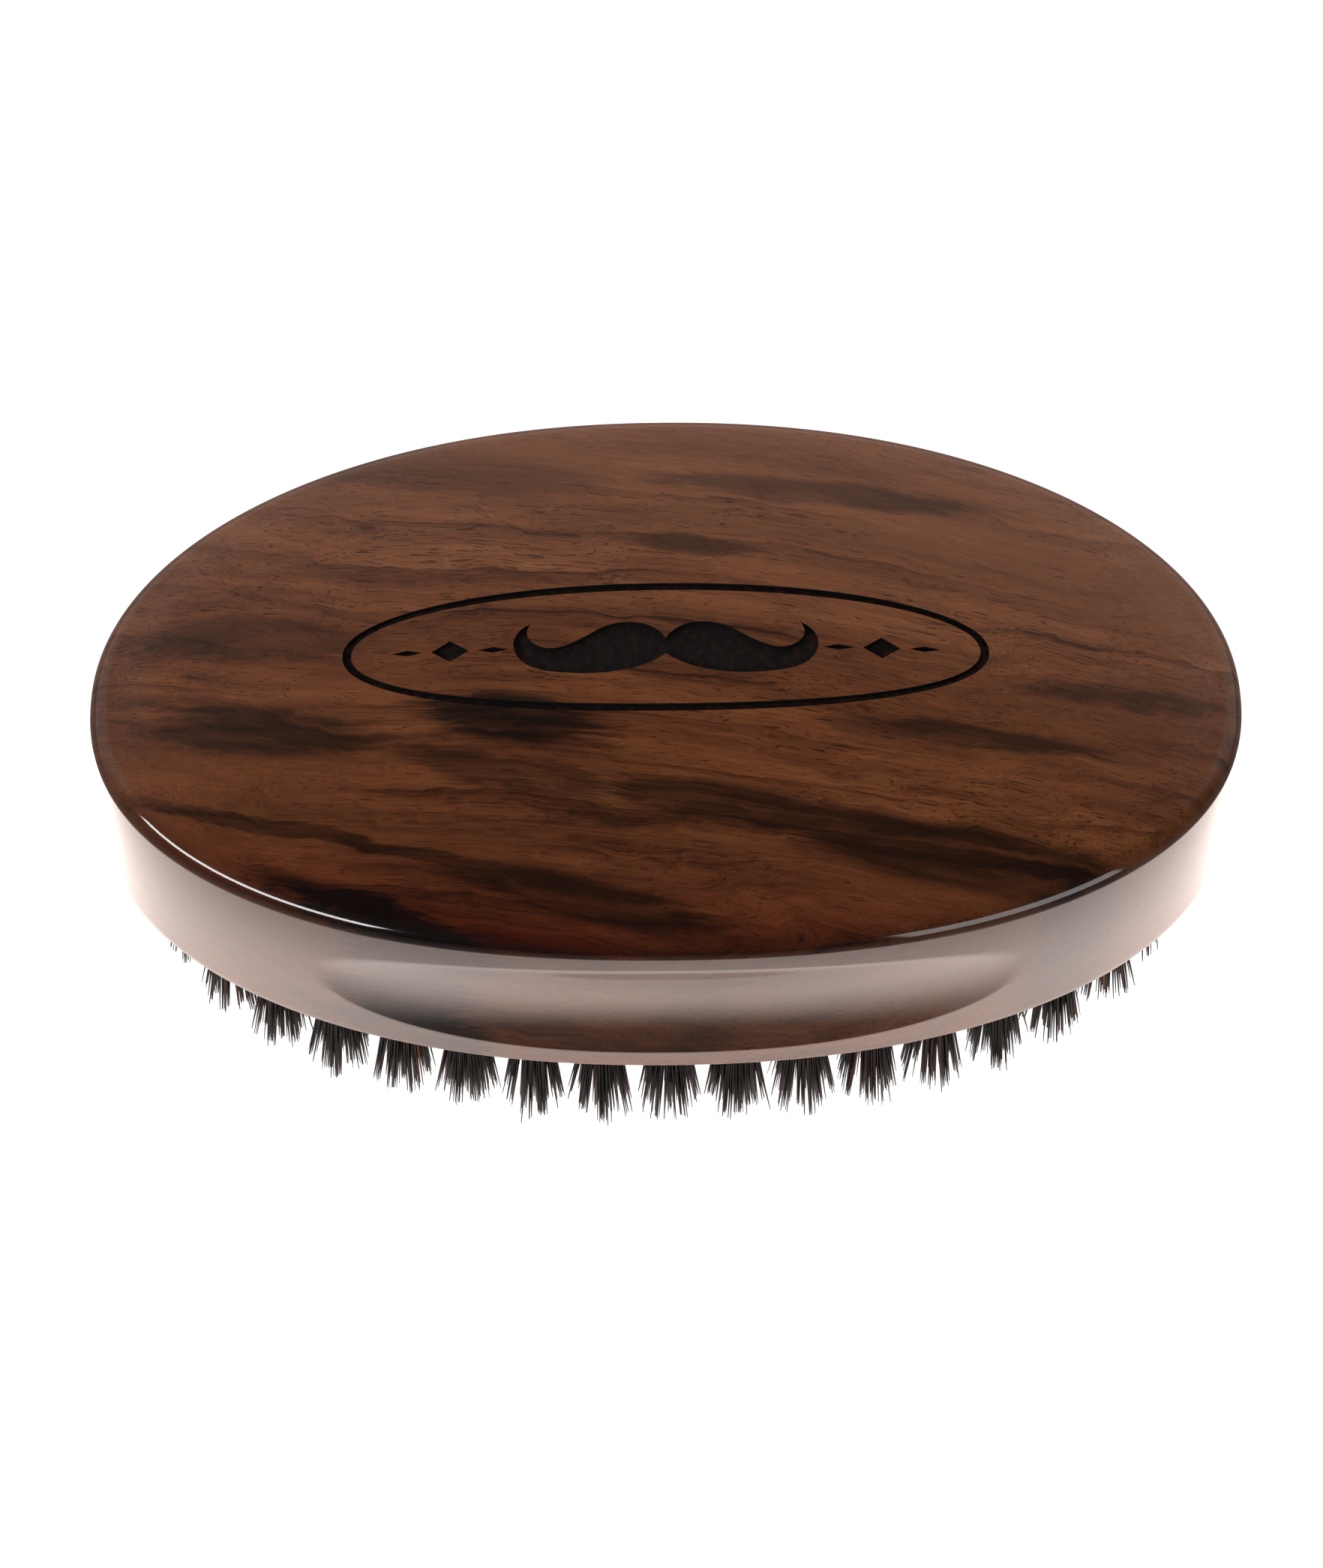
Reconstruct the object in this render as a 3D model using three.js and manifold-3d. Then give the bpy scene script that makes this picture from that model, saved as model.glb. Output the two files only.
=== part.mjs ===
// Oval beard brush: a walnut block with a finger groove on each long side, a bristle board let into its
// underside, and boar-bristle tufts that are drawn into the board by a wire for each row.
//
// Millimetres, +Z up. X runs along the brush and Y across it. The brush stands on its bristle tips at z = 0.

import * as THREE from "three";
import { mergeVertices } from "three/addons/utils/BufferGeometryUtils.js";
import Module from "manifold-3d";

const wasm = await Module();
wasm.setup();

// ---------------------------------------------------------------- driving dimensions

// The outline of the block, the board and the rows of tufts is a superellipse, a little fuller than an ellipse.
const OUTLINE_POWER = 2.155;
const BODY_LENGTH = 118;
const BODY_WIDTH = 66.6;

const BRISTLE_REACH = 16; // free length of the tufts, from the wood to the tips
const WALL_HEIGHT = 22.07; // from the foot to the arris where the rounded top edge starts, at mid-length
const SIDE_TAPER = 0.9; // how far the wall draws in towards its foot on the long sides
const END_TAPER = 0; // and at the two ends
const FOOT_ROUND = 0.4; // radius of the eased edge at the foot
const TOP_ROUND = 2.5; // radius of the rounded top edge
const ARRIS_ANGLE = 18; // degrees by which the rounded edge turns in from the wall at the arris
const CROWN_DROP = 3.6; // how much lower the top is at the two ends than at mid-length
const DOME_RISE = 1.2; // how much the middle of the top stands above its rim

// The finger groove on each long side, seen square on: an oval whose lower half is fuller than its upper half.
const GROOVE_DEPTH = 1.5;
const GROOVE_DEEPEST = 0.52; // how far down the groove, as a share of its height, it is deepest
const GROOVE_EASE = 1.1; // power of the curve by which it deepens below its upper lip
const GROOVE_HALF_LENGTH = 35.5;
const GROOVE_MIDDLE = 11.3; // height of its long axis above the foot
const GROOVE_HALF_HEIGHT = 8.3;
const GROOVE_UPPER_POWER = 2;
const GROOVE_LOWER_POWER = 3;

// The board is let into a recess that follows the block's outline.
const RECESS_INSET = 4.5;
const RECESS_DEPTH = 5.2;
const BOARD_GAP = 0.3;
const BOARD_THICKNESS = 4.8;

// The tufts stand in closed rows, one inside the other, round a straight centre row.
const OUTER_ROW_INSET = 7.8; // from the block's outline to the middle of the outer row's tufts
const ROW_PITCH = 8.5;
const OUTER_ROW_TUFTS = 36;
const SECOND_ROW_TUFTS = 28;
const THIRD_ROW_TUFTS = 20;
const CENTRE_ROW_TUFTS = 7;
const TUFT_ROOT_RADIUS = 1.6;
const TUFT_TIP_RADIUS = 2.7;
const HOLE_RADIUS = 1.9;
const TUFT_SIDES = 6;

// The draw wire lies in a channel in the board's back and passes through the folded head of each tuft.
const WIRE_RADIUS = 0.3;
const WIRE_SIDES = 6;
const WIRE_DEPTH = 1.3; // from the board's back to the middle of the wire
const WIRE_CLEARANCE = 0.45;
const WIRE_TAIL = 0.35; // how far a wire runs on past its last tuft, in tuft pitches
const HEAD_PROUD = 0.1; // how far a tuft's folded head stands above the board's back

// The engraved emblem: an oval ring round a moustache, with a lozenge and two short rules at each side.
const ENGRAVING_DEPTH = 0.6;
const EMBLEM_SHIFT = 2.5; // the emblem's middle lies this far behind the middle of the brush
const RING_HALF_LENGTH = 33;
const RING_HALF_WIDTH = 8;
const RING_LINE = 0.9;
const RING_STEPS = 44;
const MOUSTACHE_CURVE_STEPS = 4;
const LOZENGE_PLACE = 22;
const LOZENGE_HALF_LENGTH = 1.9;
const LOZENGE_HALF_WIDTH = 1.3;
const RULE_HALF_LENGTH = 1.6;
const RULE_HALF_WIDTH = 0.35;
const RULE_OFFSET = 4.4; // from the lozenge's middle to the middle of the rule on either side

const OUTLINE_STEPS = 64;
const WALL_STEPS = 9;
const TOP_EDGE_STEPS = 3;
const FOOT_STEPS = 2;
const DOME_STEPS = 3;

// ---------------------------------------------------------------- worked out from them

const FOOT_Z = BRISTLE_REACH;
const WALL_TOP_Z = FOOT_Z + WALL_HEIGHT;
const BOARD_BACK_Z = FOOT_Z + BOARD_THICKNESS;
const WIRE_Z = BOARD_BACK_Z - WIRE_DEPTH;
const WIRE_SPACE = WIRE_RADIUS + WIRE_CLEARANCE;
const ARRIS = THREE.MathUtils.degToRad(ARRIS_ANGLE);
const DOME_EDGE_ANGLE = Math.PI / 2 - Math.atan((4 * DOME_RISE) / BODY_WIDTH);

const BODY = { halfLength: BODY_LENGTH / 2, halfWidth: BODY_WIDTH / 2 };
const OUTER_ROW = inset(BODY, OUTER_ROW_INSET);
const SECOND_ROW = inset(OUTER_ROW, ROW_PITCH);
const THIRD_ROW = inset(SECOND_ROW, ROW_PITCH);
const CENTRE_ROW = inset(THIRD_ROW, ROW_PITCH);

// ---------------------------------------------------------------- materials

const walnut = new THREE.MeshStandardMaterial({ color: "#643c28", roughness: 0.3 });
const boardWood = new THREE.MeshStandardMaterial({ color: "#8a5c3c", roughness: 0.55 });
const bristle = new THREE.MeshStandardMaterial({ color: "#17181a", roughness: 0.5 });
const steelWire = new THREE.MeshStandardMaterial({ color: "#b9bbbd", roughness: 0.3, metalness: 1 });

// ---------------------------------------------------------------- outlines

/** The same oval, smaller by a distance on every side. */
function inset(oval, distance) {
  return { halfLength: oval.halfLength - distance, halfWidth: oval.halfWidth - distance };
}

/** A point of an oval at an angle parameter, as [x, y]. */
function ovalPoint(oval, angle) {
  const power = 2 / OUTLINE_POWER;
  const c = Math.cos(angle);
  const s = Math.sin(angle);
  return [
    oval.halfLength * Math.sign(c) * Math.abs(c) ** power,
    oval.halfWidth * Math.sign(s) * Math.abs(s) ** power,
  ];
}

/** The outward unit normal of an oval at one of its points. */
function ovalNormal(oval, [x, y]) {
  const steep = OUTLINE_POWER - 1;
  const normal = new THREE.Vector2(
    (Math.sign(x) * Math.abs(x / oval.halfLength) ** steep) / oval.halfLength,
    (Math.sign(y) * Math.abs(y / oval.halfWidth) ** steep) / oval.halfWidth,
  );
  return normal.normalize();
}

/** Points spaced evenly along an oval, starting in the middle of the front. */
function evenOval(oval, count) {
  const fine = [];
  const samples = 720;
  for (let i = 0; i < samples; i++) {
    const [x, y] = ovalPoint(oval, -Math.PI / 2 + (2 * Math.PI * i) / samples);
    fine.push(new THREE.Vector3(x, y, 0));
  }
  const curve = new THREE.CatmullRomCurve3(fine, true);
  curve.arcLengthDivisions = samples;
  return curve.getSpacedPoints(count).slice(0, count);
}

// ---------------------------------------------------------------- solids

/** A closed solid from a stack of level rings of points, each ring anticlockwise, from bottom to top. */
function loft(rings) {
  const count = rings[0].length;
  const last = rings.length - 1;
  const positions = rings.flat().flatMap((p) => [p.x, p.y, p.z]);
  const faces = [];
  for (let r = 0; r < last; r++) {
    for (let i = 0; i < count; i++) {
      const next = (i + 1) % count;
      const a = r * count + i;
      const b = r * count + next;
      faces.push(a, b, b + count, a, b + count, a + count);
    }
  }
  const bottom = positions.length / 3;
  for (const ring of [rings[0], rings[last]]) {
    const middle = ring.reduce((sum, p) => sum.add(p), new THREE.Vector3()).divideScalar(count);
    positions.push(middle.x, middle.y, middle.z);
  }
  for (let i = 0; i < count; i++) {
    const next = (i + 1) % count;
    faces.push(bottom, next, i);
    faces.push(bottom + 1, last * count + i, last * count + next);
  }
  const geometry = new THREE.BufferGeometry();
  geometry.setAttribute("position", new THREE.Float32BufferAttribute(positions, 3));
  geometry.setIndex(faces);
  return geometry;
}

/** A geometry as a solid that can be joined and cut. */
function solid(geometry) {
  const bare = geometry.clone();
  bare.deleteAttribute("normal");
  bare.deleteAttribute("uv");
  const merged = mergeVertices(bare, 1e-4);
  return new wasm.Manifold(
    new wasm.Mesh({
      numProp: 3,
      vertProperties: merged.attributes.position.array,
      triVerts: new Uint32Array(merged.index.array),
    }),
  );
}

/** A solid back as a geometry. */
function geometryOf(manifold) {
  const mesh = manifold.getMesh();
  const geometry = new THREE.BufferGeometry();
  geometry.setAttribute("position", new THREE.BufferAttribute(new Float32Array(mesh.vertProperties), 3));
  geometry.setIndex(new THREE.BufferAttribute(new Uint32Array(mesh.triVerts), 1));
  geometry.computeVertexNormals();
  return geometry;
}

/** An upright plate between two heights, from a ring of points. */
function plate(points, low, high) {
  return loft([low, high].map((z) => points.map((p) => new THREE.Vector3(p.x, p.y, z))));
}

/** An oval plate between two heights. */
function ovalPlate(oval, low, high) {
  const points = [];
  for (let i = 0; i < OUTLINE_STEPS; i++) {
    const [x, y] = ovalPoint(oval, (2 * Math.PI * i) / OUTLINE_STEPS);
    points.push(new THREE.Vector3(x, y, 0));
  }
  return plate(points, low, high);
}

// ---------------------------------------------------------------- handle block

/** How far the top sinks, at a place along the brush, below its height at mid-length. */
function crownDrop(x) {
  return CROWN_DROP * (x / BODY.halfLength) ** 2;
}

/** How deep the finger groove is at a place along the wall and a height above the foot. */
function grooveDepth(x, height) {
  const along = Math.abs(x / GROOVE_HALF_LENGTH);
  if (along >= 1) return 0;
  const reach = (power) => GROOVE_HALF_HEIGHT * (1 - along ** power) ** (1 / power);
  const top = GROOVE_MIDDLE + reach(GROOVE_UPPER_POWER);
  const bottom = GROOVE_MIDDLE - reach(GROOVE_LOWER_POWER);
  if (height <= bottom || height >= top) return 0;
  // A soft upper lip, the deepest place well down the groove, and a firm lower lip.
  const down = (top - height) / (top - bottom);
  const lowerEase = (GROOVE_EASE * (1 - GROOVE_DEEPEST)) / GROOVE_DEEPEST;
  const profile = (down / GROOVE_DEEPEST) ** GROOVE_EASE * ((1 - down) / (1 - GROOVE_DEEPEST)) ** lowerEase;
  return GROOVE_DEPTH * (1 - along * along) * profile;
}

/** How far in the wall's foot lies where the wall faces along a unit normal. */
function wallTaper(normal) {
  return SIDE_TAPER * normal.y ** 2 + END_TAPER * normal.x ** 2;
}

/** A ring of points round the block, each set in from the outline and at a height that may follow the crown. */
function blockRing(place) {
  const ring = [];
  for (let i = 0; i < OUTLINE_STEPS; i++) {
    const point = ovalPoint(BODY, (2 * Math.PI * i) / OUTLINE_STEPS);
    const normal = ovalNormal(BODY, point);
    const { depth, z } = place(point[0], wallTaper(normal));
    ring.push(new THREE.Vector3(point[0] - depth * normal.x, point[1] - depth * normal.y, z));
  }
  return ring;
}

/** The block without its recess and engraving, its dome lowered by a distance. */
function blockShape(lowered) {
  const rings = [];
  for (let i = 0; i < FOOT_STEPS; i++) {
    const angle = (Math.PI / 2) * (i / FOOT_STEPS);
    const round = FOOT_ROUND * (1 - Math.sin(angle));
    const z = FOOT_Z + FOOT_ROUND * (1 - Math.cos(angle));
    rings.push(blockRing((x, taper) => ({ depth: taper + round, z })));
  }
  for (let i = 0; i <= WALL_STEPS; i++) {
    const up = i / WALL_STEPS;
    rings.push(
      blockRing((x, taper) => {
        const wallTop = WALL_TOP_Z - crownDrop(x);
        const z = THREE.MathUtils.lerp(FOOT_Z + FOOT_ROUND, wallTop, up);
        return { depth: taper * (1 - up) + grooveDepth(x, z - FOOT_Z), z };
      }),
    );
  }
  for (let i = 1; i <= TOP_EDGE_STEPS; i++) {
    const angle = THREE.MathUtils.lerp(ARRIS, DOME_EDGE_ANGLE, i / TOP_EDGE_STEPS);
    const depth = TOP_ROUND * (Math.cos(ARRIS) - Math.cos(angle));
    const rise = TOP_ROUND * (Math.sin(angle) - Math.sin(ARRIS));
    rings.push(blockRing((x) => ({ depth, z: WALL_TOP_Z - crownDrop(x) + rise })));
  }
  const rim = rings[rings.length - 1];
  for (let i = 1; i < DOME_STEPS; i++) {
    const size = 1 - i / DOME_STEPS;
    const rise = DOME_RISE * (1 - size * size);
    rings.push(
      rim.map((p) => {
        const rimHeight = p.z + crownDrop(p.x);
        return new THREE.Vector3(p.x * size, p.y * size, rimHeight - crownDrop(p.x * size) + rise);
      }),
    );
  }
  for (const p of rings.slice(-DOME_STEPS).flat()) p.z -= lowered;
  return loft(rings);
}

/** The right half of the moustache as a path from its middle top to its middle bottom, and its mirror image. */
function moustachePoints() {
  const half = new THREE.Path();
  half.moveTo(0, 1);
  half.bezierCurveTo(1, 3.1, 4.2, 3.8, 6.8, 2.3);
  half.bezierCurveTo(9.2, 0.7, 11.2, -0.7, 13, 0.3);
  half.bezierCurveTo(14.3, 1, 14.5, 2.2, 13.7, 3.1);
  half.bezierCurveTo(16.6, 1.9, 16, -1.9, 12.6, -2.7);
  half.bezierCurveTo(8.6, -3.7, 3, -3.5, 0, -0.9);
  const right = half.getPoints(MOUSTACHE_CURVE_STEPS);
  const left = right.slice(1, -1).map((p) => new THREE.Vector2(-p.x, p.y));
  return [...right, ...left.reverse()];
}

/** The emblem's flat shapes, about its own middle. */
function emblemShapes() {
  const oval = { halfLength: RING_HALF_LENGTH, halfWidth: RING_HALF_WIDTH };
  const ringPoints = (line) => {
    const points = [];
    for (let i = 0; i < RING_STEPS; i++) {
      const [x, y] = ovalPoint(inset(oval, line), (2 * Math.PI * i) / RING_STEPS);
      points.push(new THREE.Vector2(x, y));
    }
    return points;
  };
  const ring = new THREE.Shape(ringPoints(0));
  ring.holes.push(new THREE.Path(ringPoints(RING_LINE)));
  const shapes = [ring, new THREE.Shape(moustachePoints())];
  for (const side of [-1, 1]) {
    const middle = side * LOZENGE_PLACE;
    shapes.push(diamond(middle, LOZENGE_HALF_LENGTH, LOZENGE_HALF_WIDTH));
    for (const offset of [-RULE_OFFSET, RULE_OFFSET]) {
      shapes.push(diamond(middle + offset, RULE_HALF_LENGTH, RULE_HALF_WIDTH));
    }
  }
  return shapes;
}

/** A lozenge on the emblem's long axis. */
function diamond(middle, halfLength, halfWidth) {
  return new THREE.Shape([
    new THREE.Vector2(middle - halfLength, 0),
    new THREE.Vector2(middle, -halfWidth),
    new THREE.Vector2(middle + halfLength, 0),
    new THREE.Vector2(middle, halfWidth),
  ]);
}

function handleBlock() {
  const lowest = WALL_TOP_Z - CROWN_DROP;
  const cutters = new THREE.ExtrudeGeometry(emblemShapes(), { depth: BODY_WIDTH, bevelEnabled: false });
  cutters.translate(0, EMBLEM_SHIFT, lowest);
  // The engraving has one depth everywhere, so its floor follows the dome.
  const engraving = solid(cutters).subtract(solid(blockShape(ENGRAVING_DEPTH)));
  const recess = solid(ovalPlate(inset(BODY, RECESS_INSET), 0, FOOT_Z + RECESS_DEPTH));
  return geometryOf(solid(blockShape(0)).subtract(recess).subtract(engraving));
}

// ---------------------------------------------------------------- tufts and wires

// Turns a round piece, whose first corner is at -Y, so that it has a flat side square to X, as a wire wants it.
const FLAT_TO_X = Math.PI / 2 + Math.PI / TUFT_SIDES;

/** A tuft on the Z axis: flared below, straight in its hole, with a flat-topped folded head. */
function tuftSolid() {
  const profile = [
    [0, 0],
    [TUFT_TIP_RADIUS, 0],
    [TUFT_ROOT_RADIUS, BRISTLE_REACH],
    [TUFT_ROOT_RADIUS, BOARD_BACK_Z + HEAD_PROUD],
    [0, BOARD_BACK_Z + HEAD_PROUD],
  ].map(([radius, height]) => new THREE.Vector2(radius, height));
  const turned = new THREE.LatheGeometry(profile, TUFT_SIDES);
  turned.rotateX(Math.PI / 2);
  turned.rotateZ(FLAT_TO_X);
  return solid(turned);
}

/** The tuft with the eye that its fold leaves round the wire, which runs along X. */
function tuftGeometry() {
  const eye = new THREE.BoxGeometry(4 * TUFT_ROOT_RADIUS, 2 * WIRE_SPACE, 2 * WIRE_SPACE);
  eye.translate(0, 0, WIRE_Z);
  return geometryOf(tuftSolid().subtract(solid(eye)));
}

/** A row's tufts as places on a curve, each with the direction of the wire through it. */
function rowPlaces(points, closed) {
  return points.map((point, i) => {
    const before = points[closed ? (i + points.length - 1) % points.length : Math.max(i - 1, 0)];
    const after = points[closed ? (i + 1) % points.length : Math.min(i + 1, points.length - 1)];
    return { point, turn: Math.atan2(after.y - before.y, after.x - before.x) };
  });
}

/** The curve through a closed row's tufts, and the same curve at the wire's height at a count of tufts along it. */
function rowCurve(points) {
  const curve = new THREE.CatmullRomCurve3(points, true, "centripetal");
  return (tufts) => curve.getPoint(THREE.MathUtils.euclideanModulo(tufts / points.length, 1)).setZ(WIRE_Z);
}

/** The middle line of a closed row's channel. */
function channelLoop(points) {
  const at = rowCurve(points);
  return points.map((point, i) => at(i));
}

/** A wire through points that all lie at one height. */
function wireSolid(points) {
  const up = new THREE.Vector3(0, 0, 1);
  const rings = points.map((point, i) => {
    const before = points[Math.max(i - 1, 0)];
    const after = points[Math.min(i + 1, points.length - 1)];
    const ahead = after.clone().sub(before).normalize();
    const side = new THREE.Vector3().crossVectors(up, ahead);
    const ring = [];
    for (let k = 0; k < WIRE_SIDES; k++) {
      const angle = (2 * Math.PI * k) / WIRE_SIDES;
      const spoke = side.clone().multiplyScalar(Math.cos(angle)).addScaledVector(up, Math.sin(angle));
      ring.push(point.clone().addScaledVector(spoke, WIRE_RADIUS));
    }
    return ring;
  });
  return solid(loft(rings));
}

/** The loop moved sideways by a distance, outwards where it is positive. */
function offsetLoop(loop, distance) {
  return loop.map((point, i) => {
    const before = loop[(i + loop.length - 1) % loop.length];
    const after = loop[(i + 1) % loop.length];
    const ahead = after.clone().sub(before).normalize();
    return new THREE.Vector3(point.x + distance * ahead.y, point.y - distance * ahead.x, point.z);
  });
}

// ---------------------------------------------------------------- the rows

const centrePoints = [];
for (let i = 0; i < CENTRE_ROW_TUFTS; i++) {
  const along = THREE.MathUtils.lerp(-1, 1, i / (CENTRE_ROW_TUFTS - 1));
  centrePoints.push(new THREE.Vector3(along * CENTRE_ROW.halfLength, 0, 0));
}
const closedRows = [
  evenOval(OUTER_ROW, OUTER_ROW_TUFTS),
  evenOval(SECOND_ROW, SECOND_ROW_TUFTS),
  evenOval(THIRD_ROW, THIRD_ROW_TUFTS),
];

/** A closed row's wire: it starts just before the first tuft and ends just after the last. */
function rowWire(points) {
  const at = rowCurve(points);
  const path = [at(-WIRE_TAIL)];
  for (let i = 0; i < points.length; i++) path.push(at(i));
  path.push(at(points.length - 1 + WIRE_TAIL));
  return wireSolid(path);
}

/** The channel for a closed row's wire, cut from the board's back. */
function rowChannel(points) {
  const loop = channelLoop(points);
  const outer = solid(plate(offsetLoop(loop, WIRE_SPACE), WIRE_Z - WIRE_SPACE, BOARD_BACK_Z + 1));
  const inner = solid(plate(offsetLoop(loop, -WIRE_SPACE), 0, BOARD_BACK_Z + 2));
  return outer.subtract(inner);
}

/** Half the length of the centre row's straight wire. */
function centreWireReach() {
  const pitch = (2 * CENTRE_ROW.halfLength) / (CENTRE_ROW_TUFTS - 1);
  return CENTRE_ROW.halfLength + WIRE_TAIL * pitch;
}

/** The straight wire of the centre row. */
function centreWire() {
  const end = centreWireReach();
  return wireSolid([new THREE.Vector3(-end, 0, WIRE_Z), new THREE.Vector3(end, 0, WIRE_Z)]);
}

function bristleBoard() {
  let board = solid(ovalPlate(inset(BODY, RECESS_INSET + BOARD_GAP), FOOT_Z, BOARD_BACK_Z));
  const hole = new THREE.CylinderGeometry(HOLE_RADIUS, HOLE_RADIUS, 2 * BOARD_THICKNESS, TUFT_SIDES);
  hole.rotateX(Math.PI / 2);
  for (const points of [...closedRows, centrePoints]) {
    for (const { point, turn } of rowPlaces(points, points !== centrePoints)) {
      const cutter = hole.clone().rotateZ(turn + FLAT_TO_X);
      cutter.translate(point.x, point.y, FOOT_Z + BOARD_THICKNESS / 2);
      board = board.subtract(solid(cutter));
    }
  }
  for (const points of closedRows) board = board.subtract(rowChannel(points));
  const channelLength = 2 * (centreWireReach() + WIRE_CLEARANCE);
  const channel = new THREE.BoxGeometry(channelLength, 2 * WIRE_SPACE, 2 * WIRE_DEPTH);
  channel.translate(0, 0, WIRE_Z - WIRE_SPACE + WIRE_DEPTH);
  return geometryOf(board.subtract(solid(channel)));
}

/** An inner row as one piece: its tufts, joined on their wire. */
function joinedRow(points) {
  let row = rowWire(points);
  for (const { point, turn } of rowPlaces(points, true)) {
    row = row.add(tuftSolid().rotate([0, 0, THREE.MathUtils.radToDeg(turn)]).translate([point.x, point.y, 0]));
  }
  return geometryOf(row);
}

// ---------------------------------------------------------------- assembly

const brush = new THREE.Group();

function addPiece(name, geometry, material) {
  const mesh = new THREE.Mesh(geometry, material);
  mesh.name = name;
  brush.add(mesh);
  return mesh;
}

/** A row of separate tufts, numbered from the first point. */
function addTufts(prefix, points, closed) {
  const geometry = tuftGeometry();
  rowPlaces(points, closed).forEach(({ point, turn }, i) => {
    const tuft = addPiece(`${prefix}_${String(i + 1).padStart(2, "0")}`, geometry, bristle);
    tuft.position.set(point.x, point.y, 0);
    tuft.rotation.z = turn;
  });
}

addPiece("handle_block", handleBlock(), walnut);
addPiece("bristle_board", bristleBoard(), boardWood);
addPiece("outer_draw_wire", geometryOf(rowWire(closedRows[0])), steelWire);
addPiece("centre_draw_wire", geometryOf(centreWire()), steelWire);
addTufts("outer_tuft", closedRows[0], true);
addPiece("second_row_tufts", joinedRow(closedRows[1]), bristle);
addPiece("third_row_tufts", joinedRow(closedRows[2]), bristle);
addTufts("centre_tuft", centrePoints, false);

export default brush;
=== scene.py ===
"""Oval beard brush: the finished pieces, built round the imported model.

A lacquered walnut block with a finger groove on each long side and a burnt emblem on its top, an oiled
bristle board let into its underside, and tufts of dark boar bristle, each folded over the draw wire of its
row.

Sizes are in millimetres in the classes and become metres where a mesh is made. X runs along the brush, Y
across it, and the brush stands on its bristle tips at z = 0.
"""

import logging
import math
from collections.abc import Callable, Iterable
from dataclasses import dataclass, field
from enum import Enum

import bmesh
import bpy
import numpy as np
from mathutils import Matrix, Vector


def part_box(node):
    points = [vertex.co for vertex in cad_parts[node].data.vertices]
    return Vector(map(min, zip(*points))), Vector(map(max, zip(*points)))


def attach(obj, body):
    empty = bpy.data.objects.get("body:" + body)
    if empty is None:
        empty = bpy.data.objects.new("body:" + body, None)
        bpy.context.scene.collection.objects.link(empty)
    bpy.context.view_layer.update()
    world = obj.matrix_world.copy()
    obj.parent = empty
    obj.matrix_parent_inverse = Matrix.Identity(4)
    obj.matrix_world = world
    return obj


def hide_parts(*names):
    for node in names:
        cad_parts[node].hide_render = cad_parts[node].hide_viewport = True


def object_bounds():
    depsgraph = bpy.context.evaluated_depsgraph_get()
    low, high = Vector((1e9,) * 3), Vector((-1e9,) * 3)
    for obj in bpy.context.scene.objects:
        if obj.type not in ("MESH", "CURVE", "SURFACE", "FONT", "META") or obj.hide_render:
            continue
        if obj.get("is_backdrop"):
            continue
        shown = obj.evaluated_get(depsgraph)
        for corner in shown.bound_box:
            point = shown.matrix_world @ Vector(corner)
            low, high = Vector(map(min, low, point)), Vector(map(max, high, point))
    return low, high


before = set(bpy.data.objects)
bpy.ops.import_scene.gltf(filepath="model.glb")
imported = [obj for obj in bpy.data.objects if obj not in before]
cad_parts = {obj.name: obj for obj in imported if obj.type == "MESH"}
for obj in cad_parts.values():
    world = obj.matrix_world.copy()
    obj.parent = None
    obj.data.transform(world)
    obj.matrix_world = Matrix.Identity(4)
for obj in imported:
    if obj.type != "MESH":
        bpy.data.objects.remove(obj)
CAD_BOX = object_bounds()

log = logging.getLogger("beard_brush")

MM = 0.001
ROOT = "root"
TURN = "turn"

Ring = Callable[[float], Vector]
Socket = bpy.types.NodeSocket
Tree = bpy.types.NodeTree


class Slot(Enum):
    """The record's material slots."""

    WALNUT = "walnut"
    BOARD = "board_wood"
    BRISTLE = "boar_bristle"
    WIRE = "steel_wire"


# ---------------------------------------------------------------- small helpers


def linear(hex_colour: str) -> tuple[float, float, float, float]:
    """Turns an sRGB hex colour into the linear colour that a shader wants.

    Args:
        hex_colour: a colour such as "#643a24".

    Returns:
        The red, green, blue and alpha shares, with alpha 1.
    """
    shares = [int(hex_colour[i : i + 2], 16) / 255 for i in (1, 3, 5)]
    red, green, blue = (c / 12.92 if c <= 0.04045 else ((c + 0.055) / 1.055) ** 2.4 for c in shares)
    return red, green, blue, 1.0


def add(tree: Tree, kind: str, inputs: dict | None = None, **settings: object) -> bpy.types.Node:
    """Adds a node, sets it up and links it.

    Args:
        tree: the node tree.
        kind: the node's type, without the "ShaderNode" in front.
        inputs: for each input, by name or number, the socket that feeds it or its value.
        settings: properties of the node; stops is a ramp's list of (place, hex colour).

    Returns:
        The new node.
    """
    made = tree.nodes.new("ShaderNode" + kind)
    stops = settings.pop("stops", ())
    for name, value in settings.items():
        setattr(made, name, value)
    for place, colour in stops[2:]:
        made.color_ramp.elements.new(place)
    for element, (place, colour) in zip(made.color_ramp.elements if stops else (), sorted(stops)):
        element.position = place
        element.color = linear(colour)
    for name, value in (inputs or {}).items():
        if isinstance(value, Socket):
            tree.links.new(value, made.inputs[name])
        else:
            made.inputs[name].default_value = value
    return made


def start_material(name: str) -> tuple[bpy.types.Material, Tree]:
    """Makes an empty node material.

    Args:
        name: the material's name.

    Returns:
        The material and its node tree.
    """
    material = bpy.data.materials.new(name)
    material.use_nodes = True
    material.node_tree.nodes.clear()
    return material, material.node_tree


def deselect() -> None:
    """Leaves edit mode and deselects every object."""
    if bpy.context.object and bpy.context.object.mode != "OBJECT":
        bpy.ops.object.mode_set(mode="OBJECT")
    bpy.ops.object.select_all(action="DESELECT")


def take(obj: bpy.types.Object) -> None:
    """Selects one object alone and makes it the active one.

    Args:
        obj: the object.
    """
    deselect()
    obj.select_set(True)
    bpy.context.view_layer.objects.active = obj


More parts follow.
